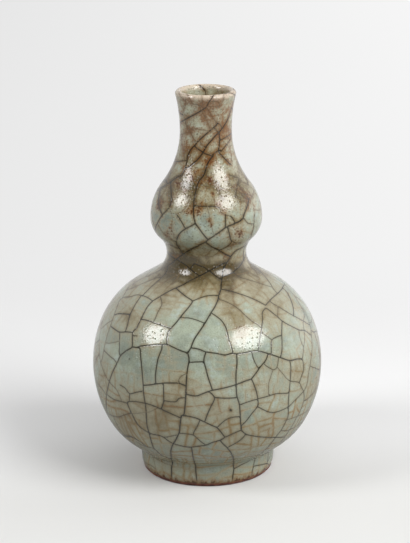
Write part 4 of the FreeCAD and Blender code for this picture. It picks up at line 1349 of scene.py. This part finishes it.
def crackle_glaze(name, look, warmth):
    """Crackled celadon glaze: a glassy, pitted coat over pale stoneware.

    The eye sees milky grey-green cells, tea-brown stain that has soaked in along the cracks, ink-dark
    crack lines, a finer golden crackle, and rust specks where iron has bled through. Just under the waist
    the brown of the stain also paints the shade that falls there. It thins to buff on the lip and to brown
    along the foot.
    """
    material = bpy.data.materials.new(name)
    add = emptied(material)
    place = add(PLACE)
    height = add(AXES, place)
    gap, tone, net_gap, net_tone, stain, rust, tint = (add(MARK, attribute_name=label) for label in MARKS)
    mottle, broad, blotch = (add(LESS, add(NOISE, place, pattern(size), detail, 0.6), 0.5)
                             for size, detail in ((3.0, 3.0), (14.0, 2.0), (0.9, 2.0)))
    upper = add(EASE, height, *metres(*UPPER_HALF))
    low = add(EASE, height, *metres(*LOW_BELLY), 1.0, 0.0)
    high = add(EASE, height, *metres(*NECK))

    # how far stain has soaked in, with the painted shade under the waist that comes in with the marks: most
    # along the cracks, least in the middle of a cell
    beside_net = add(TIMES, add(EASE, net_gap, 0.0, 1.2, 1.0, 0.0), net_tone)
    beside_crack = add(TIMES, add(EASE, gap, 0.0, 2.4, 1.0, 0.0), tone)
    beside = add(PLUS, beside_net, add(PLUS, low, 0.25, 0.3),
                 add(TIMES, beside_crack, add(PLUS, upper, 0.5, 0.25)))
    soak_and_shade = weighted(add, warmth - 0.14, (stain, 1.0), (beside, 1.0), (mottle, 0.9),
                      (add(TIMES, blotch, upper), 1.1))

    # cells: milky clouds in some, others greyer
    milky = add(EASE, add(NOISE, place, pattern(5.0), 1.0, 0.6), 0.5, 0.68, 0.0, 0.8)
    cell = weighted(add, 0.3, (tint, 0.4), (mottle, 0.8), (broad, 1.4), (high, -0.2))

    # fine golden crackle, strongest where the stain is and weak on the shoulder
    shoulder = add(TIMES, add(EASE, height, *metres(*SHOULDER)),
                   add(EASE, height, *metres(*UPPER_HALF), 1.0, 0.0))
    net = add(TIMES, add(EASE, net_gap, 0.0, 0.5, 1.0, 0.0), net_tone)
    net = add(TIMES, net, add(EASE, soak_and_shade, 0.15, 0.9, 0.04, 0.75))
    net = add(TIMES, net, weighted(add, 1.0, (low, -0.15), (high, 0.35), (upper, -0.35), (shoulder, -0.6)))
    net_colour = add(BLEND, add(EASE, broad, -0.02, 0.12), look.gold_line, look.red_line)

    # amber tint and rust that has bled out of the body, in blots along the fine crackle
    warm = weighted(add, rust, (low, 0.1), (high, 0.04), (beside, 0.5), (blotch, 0.7), (mottle, 1.0))
    bleed = weighted(add, rust, (beside, 0.25), (blotch, 3.0))
    bleed = add(TIMES, add(EASE, bleed, 0.8, 1.1), add(PLUS, high, -0.4, 0.9))

    # main cracks: a soft brown edge and a dark line, both weaker where the crack is faint
    halo = add(TIMES, add(EASE, gap, 0.1, 1.3, 0.34, 0.0), add(PLUS, high, 0.35, tone))
    half = add(PLUS, tone, look.line_width / MM * 0.6, 0.16)
    line = add(EASE, gap, add(TIMES, half, 0.25), half, 1.0, 0.0)
    line = add(TIMES, line, add(EASE, tone, 0.2, 0.9, 0.5, 0.95))
    ink = add(BLEND, add(EASE, tone, 0.3, 0.75), look.brown_line, look.line)

    # buff lip, where the glaze has run thin, and uneven edge along the foot, where it ends
    lip = add(EASE, add(PLUS, mottle, 2.5 * MM, height), *metres(*LIP), 0.0, 0.75)
    run = add(NOISE, add(STRETCH, place, (1, 1, 0.2)), pattern(1.6), 3.0)
    run = weighted(add, height, (broad, 3.0 * MM), (add(LESS, run, 0.5), 7.0 * MM))

    # pits from burst bubbles, and fine dark grains
    pit = add(GRIT, place, pattern(1.2))
    chosen = add(RED, pit.node.outputs["Color"])
    hole = add(TIMES, add(EASE, pit, 0.12, 0.42, 1.0, 0.0),
               add(EASE, add(PLUS, upper, 0.25, chosen), 0.62, 0.67))
    grain = add(TIMES, add(EASE, add(NOISE, place, pattern(0.5), 2.0, 0.6), 0.4, 0.75),
                add(PLUS, upper, 0.04, 0.28))

    body = layered(
        add, add(BLEND, milky, look.pale, look.milky),
        (add(EASE, cell, 0.2, 0.9), look.deep),
        (add(TIMES, high, 0.35), look.neck_buff),
        (add(EASE, soak_and_shade, 0.0, 0.6), look.ivory),
        (add(EASE, soak_and_shade, 0.4, 1.05), look.stain),
        (add(EASE, soak_and_shade, 0.85, 1.5), look.brown),
        (add(TIMES, beside_net, add(TIMES, low, 0.5)), look.haze),
        (net, net_colour),
        (add(EASE, warm, 0.35, 1.1, 0.0, 0.62), look.amber),
        (bleed, add(BLEND, high, look.rust, look.neck_rust)),
        (lip, look.lip),
        (halo, add(BLEND, high, look.brown_line, look.neck_edge)),
        (line, ink),
        (add(EASE, run, *metres(2.2, 5.0), 0.85, 0.0), look.foot_gold),
        (add(EASE, run, *metres(1.6, 2.6), 0.95, 0.0), look.foot_line),
        (add(TIMES, hole, add(PLUS, upper, 0.4, 0.3)), look.brown),
        (grain, look.brown),
    )

    # the slightly rippled glassy surface
    ripple = add(TIMES, add(NOISE, place, pattern(0.9), 3.0, 0.6), add(PLUS, upper, 0.03, 0.055))
    swell = add(NOISE, place, pattern(4.0), 1.0, 0.6)
    relief = weighted(add, ripple, (swell, 0.05), (line, -0.03), (hole, -0.09))
    gloss = weighted(add, 0.09, (hole, 0.5), (mottle, 0.15))
    add(SURFACE, add(SHADER, body, gloss, 0.55, add(BUMP, relief, MM, 0.9), 1.56))
    return material


def iron_wash():
    """Iron wash brushed on bare stoneware: dry, dark red-brown, golden where the glaze begins.

    The eye sees a thin, uneven brown line round the foot, worn to pale clay where the vase stands.
    """
    material = bpy.data.materials.new("iron_wash")
    add = emptied(material)
    place = add(PLACE)
    height = add(AXES, place)
    cloud = add(NOISE, place, pattern(2.5), 5.0)
    grain = add(NOISE, place, pattern(0.5), 3.0)
    edge = add(PLUS, add(LESS, cloud, 0.5), 3.0 * MM, height)
    worn = add(TIMES, add(EASE, height, *metres(0.0, 0.25), 1.0, 0.0), add(EASE, grain, 0.45, 0.65))
    body = layered(
        add, linear(WASH_DARK),
        (add(EASE, cloud, 0.3, 0.7), linear(WASH_RED)),
        (add(EASE, edge, *metres(1.0, 1.7), 0.0, 0.9), linear(WASH_GOLD)),
        (worn, linear(WASH_WORN)),
    )
    add(SURFACE, add(SHADER, body, 0.62, 0.5, add(BUMP, grain, 0.08 * MM)))
    return material


def fired_clay(name, dark, light, grit):
    """Fired clay: matt and gritty, warm grey with darker iron grains."""
    material = bpy.data.materials.new(name)
    add = emptied(material)
    place = add(PLACE)
    grain = add(GRIT, place, pattern(grit))
    body = layered(
        add, linear(dark),
        (add(EASE, add(NOISE, place, pattern(6), 4.0), 0.3, 0.7), linear(light)),
        (add(EASE, grain, 0.1, 0.3, 0.6, 0.0), linear(IRON_GRAIN)),
    )
    add(SURFACE, add(SHADER, body, 0.85, 0.5, add(BUMP, grain, 0.1 * MM)))
    return material


def finish_piece(piece, material, slot, *nodes):
    """Gives a piece its material and its body, and hides the CAD nodes that it stands for. slot is not used.
    """
    piece.data.materials.clear()
    piece.data.materials.append(material)
    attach(piece, "root")
    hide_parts(*nodes)


def ridged(s, points):
    """Adds the shallow turning ridges above the foot to the outer section."""
    changed = []
    for radius, level, curve in points:
        window = ramp(level, s.foot_height + 0.5, s.foot_height + 3) * (1 - ramp(level, *RIDGES_FADE))
        if radius < s.belly_radius - 5 and level < s.belly_level:
            radius += s.ridge_height * window * math.sin(WHOLE_TURN * level / s.ridge_pitch)
        changed.append((radius, level, curve))
    return changed


def settings(scene):
    """The sizes of the vase in millimetres with its levels, its crackle and the studio."""
    return add_levels(millimetres(scene.vase_sizes)), scene.vase_crackle, scene.vase_studio


class VASE_OT_outer_glaze(bpy.types.Operator):
    """Makes the crackled glaze on the outside"""

    bl_idname = "vase.outer_glaze"
    bl_label = "Outer Glaze"

    def execute(self, context):
        s, look, studio = settings(context.scene)
        plain = millimetres(look)
        half_lip = s.lip_thickness / 2
        full = s.wash_height + s.glaze_feather
        edge = (wall_radius(s, s.outer_glaze - s.wash_thickness, s.wash_height), s.wash_height)
        back_edge = (wall_radius(s, s.outer_glaze, s.wash_height), s.wash_height)
        outline = draw_outer(s, 0, half_lip, [(wall_radius(s, 0, full), full), edge])
        front = Surface(ridged(s, outline), end_is_edge=True)
        back = Surface(draw_outer(s, s.outer_glaze, half_lip - s.lip_glaze, [back_edge]))
        sight = Sight(studio, "outer_glaze")
        net = CrackNet(front, look.seed)
        net.add_traced(traced(sight, front, FRONT_CRACKS))
        for tone, spot in traced(sight, front, PINHOLES):
            net.add(spot, tone)
        samples = sample_grid(front, 2.2)
        samples = samples[abs(samples[:, 0]) > TRACED_TURN]
        net.fill(cell_targets(front, samples, plain, 0.4), samples)
        fine = CrackNet(front, look.seed + 7, net)
        samples = sample_grid(front, FINE_GRID)
        targets = plain.fine_cell * (1 + 0.4 * drift(front.place(*samples.T), 15, 6.6))
        fine.fill(targets * np.random.default_rng(look.seed).uniform(0.75, 1.5, len(samples)), samples)
        piece = glaze_skin("crackled_outer_glaze", front, back, (net, fine), plain.pitch, 3.2, False,
                           outer_marks(sight))
        finish_piece(piece, crackle_glaze("crackle_glaze", look, 0.0), "crackle_glaze", "outer_glaze")
        return {"FINISHED"}


class VASE_OT_lining_glaze(bpy.types.Operator):
    """Makes the glaze that lines the mouth, the bulbs and the waist"""

    bl_idname = "vase.lining_glaze"
    bl_label = "Lining Glaze"

    def execute(self, context):
        s, look, studio = settings(context.scene)
        clay = {part: s.outer_glaze + getattr(s, part + "_wall") for part in WALLS}
        lining = {part: clay[part] + s.inner_glaze for part in WALLS}
        floor = s.base_level + s.floor_thickness
        half_lip = s.lip_thickness / 2
        front = Surface(draw_inner(s, lining, half_lip, floor + s.inner_glaze, 2.0))
        back = Surface(draw_inner(s, clay, half_lip - s.lip_glaze, floor, 2.0))
        sight = Sight(studio, "inner_glaze")
        net = CrackNet(front, look.seed + 1)
        for tone, route in traced(sight, front, MOUTH_CRACKS):
            net.add(smooth_route(route, ROUTE_STEP), tone)
        samples = sample_grid(front, 3.0)
        net.fill(7.5, samples[front.level(samples[:, 1]) < 162])
        fine = CrackNet(front, look.seed + 8, net)
        samples = sample_grid(front, FINE_GRID)
        fine.fill(millimetres(look).fine_cell, samples[front.level(samples[:, 1]) > 150])
        piece = glaze_skin("crackled_lining_glaze", front, back, (net, fine), 1.2, 4.0, True,
                           partial(inner_marks, sight=sight))
        finish_piece(piece, crackle_glaze("lining_glaze", look, 0.1), "lining_glaze", "inner_glaze")
        return {"FINISHED"}


class VASE_OT_base_glaze(bpy.types.Operator):
    """Makes the glaze in the recess under the base"""

    bl_idname = "vase.base_glaze"
    bl_label = "Base Glaze"

    def execute(self, context):
        s, look, _ = settings(context.scene)
        front = Surface(draw_recess(s, s.inner_glaze, 1.5))
        back = Surface(draw_recess(s, 0, 1.5))
        net = CrackNet(front, look.seed + 2)
        net.add(smooth_route([(-0.4, 0.0), (0.1, 0.3), (0.3, 0.9), (0.9, front.end)], ROUTE_STEP), 0.9)
        net.fill(5.0, sample_grid(front, 2.0))
        fine = CrackNet(front, look.seed + 9, net)
        fine.fill(millimetres(look).fine_cell, sample_grid(front, FINE_GRID))
        piece = glaze_skin("crackled_base_glaze", front, back, (net, fine), 1.0, 3.0, True, inner_marks)
        finish_piece(piece, crackle_glaze("base_glaze", look, -0.05), "lining_glaze", "base_glaze")
        return {"FINISHED"}


class VASE_OT_foot_wash(bpy.types.Operator):
    """Makes the iron wash on the foot rim"""

    bl_idname = "vase.foot_wash"
    bl_label = "Foot Wash"

    def execute(self, context):
        s, _, _ = settings(context.scene)
        recess = recess_radius(s)
        inner = recess - s.wash_thickness
        skin = s.outer_glaze - s.wash_thickness
        chamfer = s.wash_thickness + s.rim_chamfer
        clay_outer = wall_radius(s, s.outer_glaze, chamfer)
        outline = (
            (wall_radius(s, skin, s.wash_height), s.wash_height),
            (wall_radius(s, skin, chamfer), chamfer),
            (wall_radius(s, skin, chamfer) - chamfer, 0.0),
            (inner + chamfer, 0.0),
            (inner, chamfer),
            (inner, s.wash_height),
            (recess, s.wash_height),
            (recess, chamfer),
            (recess + s.rim_chamfer, s.wash_thickness),
            (clay_outer - s.rim_chamfer, s.wash_thickness),
            (clay_outer, chamfer),
            (wall_radius(s, s.outer_glaze, s.wash_height), s.wash_height),
        )
        mesh = bpy.data.meshes.new("worn_foot_wash")
        piece = bpy.data.objects.new("worn_foot_wash", mesh)
        bpy.context.scene.collection.objects.link(piece)
        count = len(outline)
        mesh.from_pydata([(radius * MM, 0, level * MM) for radius, level in outline],
                         [(k, (k + 1) % count) for k in range(count)], [])
        select_only(piece)
        bpy.ops.object.mode_set(mode="EDIT")
        bpy.ops.mesh.select_all(action="SELECT")
        bpy.ops.mesh.spin(steps=360, angle=WHOLE_TURN, center=(0, 0, 0), axis=(0, 0, 1))
        bpy.ops.mesh.select_all(action="SELECT")
        bpy.ops.mesh.remove_doubles(threshold=1e-6)
        bpy.ops.mesh.normals_make_consistent(inside=False)
        bpy.ops.object.mode_set(mode="OBJECT")
        smooth(piece)
        finish_piece(piece, iron_wash(), "iron_wash", "foot_rim_wash")
        return {"FINISHED"}


class VASE_OT_clay(bpy.types.Operator):
    """Gives the potted clay sections and the slip between them their fired clay"""

    bl_idname = "vase.clay"
    bl_label = "Clay"

    def execute(self, context):
        stoneware = fired_clay("stoneware", CLAY_DARK, CLAY_LIGHT, 1.2)
        slip = fired_clay("slip", SLIP_DARK, SLIP_LIGHT, 0.7)
        for names, material in ((CLAY_NODES, stoneware), (SLIP_NODES, slip)):
            for name in names:
                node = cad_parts[name]
                node.data.materials.clear()
                node.data.materials.append(material)
        return {"FINISHED"}


def make_lamp(name, azimuth, elevation, width, height, radiance, distance):
    """A soft box that faces the vase; its angles are seen from the vase, 0 towards the camera."""
    data = bpy.data.lights.new(name, "AREA")
    data.shape = "ELLIPSE"
    data.size = 2 * distance * math.tan(math.radians(width) / 2)
    data.size_y = 2 * distance * math.tan(math.radians(height) / 2)
    data.energy = radiance * math.pi * data.size * data.size_y
    lamp = bpy.data.objects.new(name, data)
    bpy.context.scene.collection.objects.link(lamp)
    across, up = math.radians(azimuth), math.radians(elevation)
    away = Vector((math.sin(across) * math.cos(up), -math.cos(across) * math.cos(up), math.sin(up)))
    lamp.location = Vector(LAMP_AIM) + away * distance
    lamp.rotation_euler = away.to_track_quat("Z", "Y").to_euler()


def edit_edges(piece, wanted):
    """Goes into edit mode with the edges selected whose ends are both wanted."""
    for edge in piece.data.edges:
        edge.select = all(wanted(piece.data.vertices[v].co) for v in edge.vertices)
    bpy.ops.object.mode_set(mode="EDIT")
    bpy.ops.mesh.select_mode(type="EDGE")


def make_backdrop():
    """A floor that bends up into a wall far behind the vase."""
    bpy.ops.object.select_all(action="DESELECT")
    bpy.ops.mesh.primitive_plane_add(size=5.0, location=(0, 0.5, 0))
    bpy.ops.object.transform_apply(location=True, rotation=False, scale=False)
    floor = bpy.context.active_object
    floor.name = "backdrop"
    bpy.ops.object.mode_set(mode="EDIT")
    bpy.ops.mesh.select_all(action="DESELECT")
    bpy.ops.object.mode_set(mode="OBJECT")
    edit_edges(floor, lambda end: end.y > 2)
    bpy.ops.mesh.extrude_region_move(TRANSFORM_OT_translate={"value": (0, 0, 3.0)})
    bpy.ops.object.mode_set(mode="OBJECT")
    edit_edges(floor, lambda end: end.y > 2 and end.z < 0.1)
    bpy.ops.mesh.bevel(offset=1.2, segments=24, affect="EDGES")
    bpy.ops.object.mode_set(mode="OBJECT")
    smooth(floor)
    return floor


def backdrop_paper(studio):
    """Matt white paper, with painted shade that makes it greyer in front of the vase, that glows evenly far
    behind it.
    """
    material = bpy.data.materials.new("backdrop_paper")
    add = emptied(material)
    place = add(PLACE)
    axes = add(AXES, place).node.outputs
    # painted shade: the paper turns grey towards the front of the vase, with a faint mottle
    painted_front_shade = add(PLUS, add(NOISE, place, 3.0, 2.0), 0.06, add(EASE, axes["Y"], -0.06, 0.05, 0.85, 0.0))
    pale = add(BLEND, painted_front_shade, studio.backdrop, linear(PAPER_SHADE_GREY))
    rays = add(RAYS).node.outputs
    seen = add(MOST, rays["Is Camera Ray"], rays["Is Glossy Ray"])
    paper = add(BLEND, seen, linear(PAPER_LIT), linear(PAPER_MIRRORED))
    paper = add(BLEND, rays["Is Camera Ray"], paper, pale)
    matt = add(SHADER, paper, 0.7, 0.1)
    level = add(LINEAR, axes["X"], -0.4, 0.4, 0.75, 0.97)
    reach = add(REACH, place)
    level = add(PLUS, add(LESS, FAR_LEVEL, level), add(EASE, reach, 1.4, 2.2), level)
    distant = add(TIMES, add(EASE, axes["Y"], 0.06, 0.34), seen)
    around = add(TIMES, add(EASE, reach, 0.5, 1.0), rays["Is Camera Ray"])
    add(SURFACE, add(EITHER, add(MOST, distant, around), matt, add(GLOW, linear(WHITE), level)))
    return material


def light_room(studio):
    """A dim room round the vase: brighter at the upper right, and bright behind in its reflections."""
    world = bpy.data.worlds.new("room")
    bpy.context.scene.world = world
    add = emptied(world)
    rays = add(RAYS).node.outputs
    mirrored = add(MOST, rays["Is Glossy Ray"], rays["Is Transmission Ray"])
    axes = add(AXES, add(DIRECTION)).node.outputs
    side = add(PLUS, axes["X"], 0.8, add(TIMES, axes["Z"], 0.6))
    level = add(EASE, side, -0.5, 1.0, 0.3 * studio.fill, 2.4 * studio.fill)
    behind = add(TIMES, add(EASE, axes["Y"], -0.3, 0.35, 0.12, 0.9), add(PLUS, axes["X"], 0.18, 1.0))
    room, white, plain = (add(SKY, linear(WHITE), strength) for strength in (level, behind, FAR_LEVEL))
    mixed = add(EITHER, mirrored, room, white)
    add(WORLD, add(EITHER, rays["Is Camera Ray"], mixed, plain))


class VASE_OT_studio(bpy.types.Operator):
    """Sets up the floor, the backdrop, the lamps and the camera"""

    bl_idname = "vase.studio"
    bl_label = "Studio"

    def execute(self, context):
        scene = context.scene
        studio = scene.vase_studio
        scene.view_settings.view_transform = "Standard"
        camera = bpy.data.objects.new("camera", bpy.data.cameras.new("camera"))
        scene.collection.objects.link(camera)
        camera.data.lens = studio.lens
        camera.data.sensor_width = SENSOR
        camera.matrix_world = camera_matrix(studio)
        scene.camera = camera
        for name, values in LAMPS.items():
            make_lamp(name, *values)
        floor = make_backdrop()
        floor.data.materials.append(backdrop_paper(studio))
        light_room(studio)
        return {"FINISHED"}


class VASE_PT_panel(bpy.types.Panel):
    """Lists the pieces of the vase and the studio"""

    bl_idname = "VASE_PT_panel"
    bl_label = "Double Gourd Vase"
    bl_space_type = "VIEW_3D"
    bl_region_type = "UI"
    bl_category = "Vase"

    def draw(self, context):
        for operator in OPERATORS:
            self.layout.operator(operator.bl_idname)


OPERATORS = (
    VASE_OT_studio,
    VASE_OT_clay,
    VASE_OT_outer_glaze,
    VASE_OT_lining_glaze,
    VASE_OT_base_glaze,
    VASE_OT_foot_wash,
)
GROUPS = {"vase_sizes": VaseSizes, "vase_crackle": CrackleLook, "vase_studio": StudioSetup}


def register():
    for kind in (*GROUPS.values(), *OPERATORS, VASE_PT_panel):
        bpy.utils.register_class(kind)
    for name, group in GROUPS.items():
        setattr(bpy.types.Scene, name, PointerProperty(type=group))


def unregister():
    for name in GROUPS:
        delattr(bpy.types.Scene, name)
    for kind in reversed((*GROUPS.values(), *OPERATORS, VASE_PT_panel)):
        bpy.utils.unregister_class(kind)


def main():
    register()
    for operator in OPERATORS:
        group, name = operator.bl_idname.split(".")
        getattr(getattr(bpy.ops, group), name)()


if __name__ == "__main__":
    main()
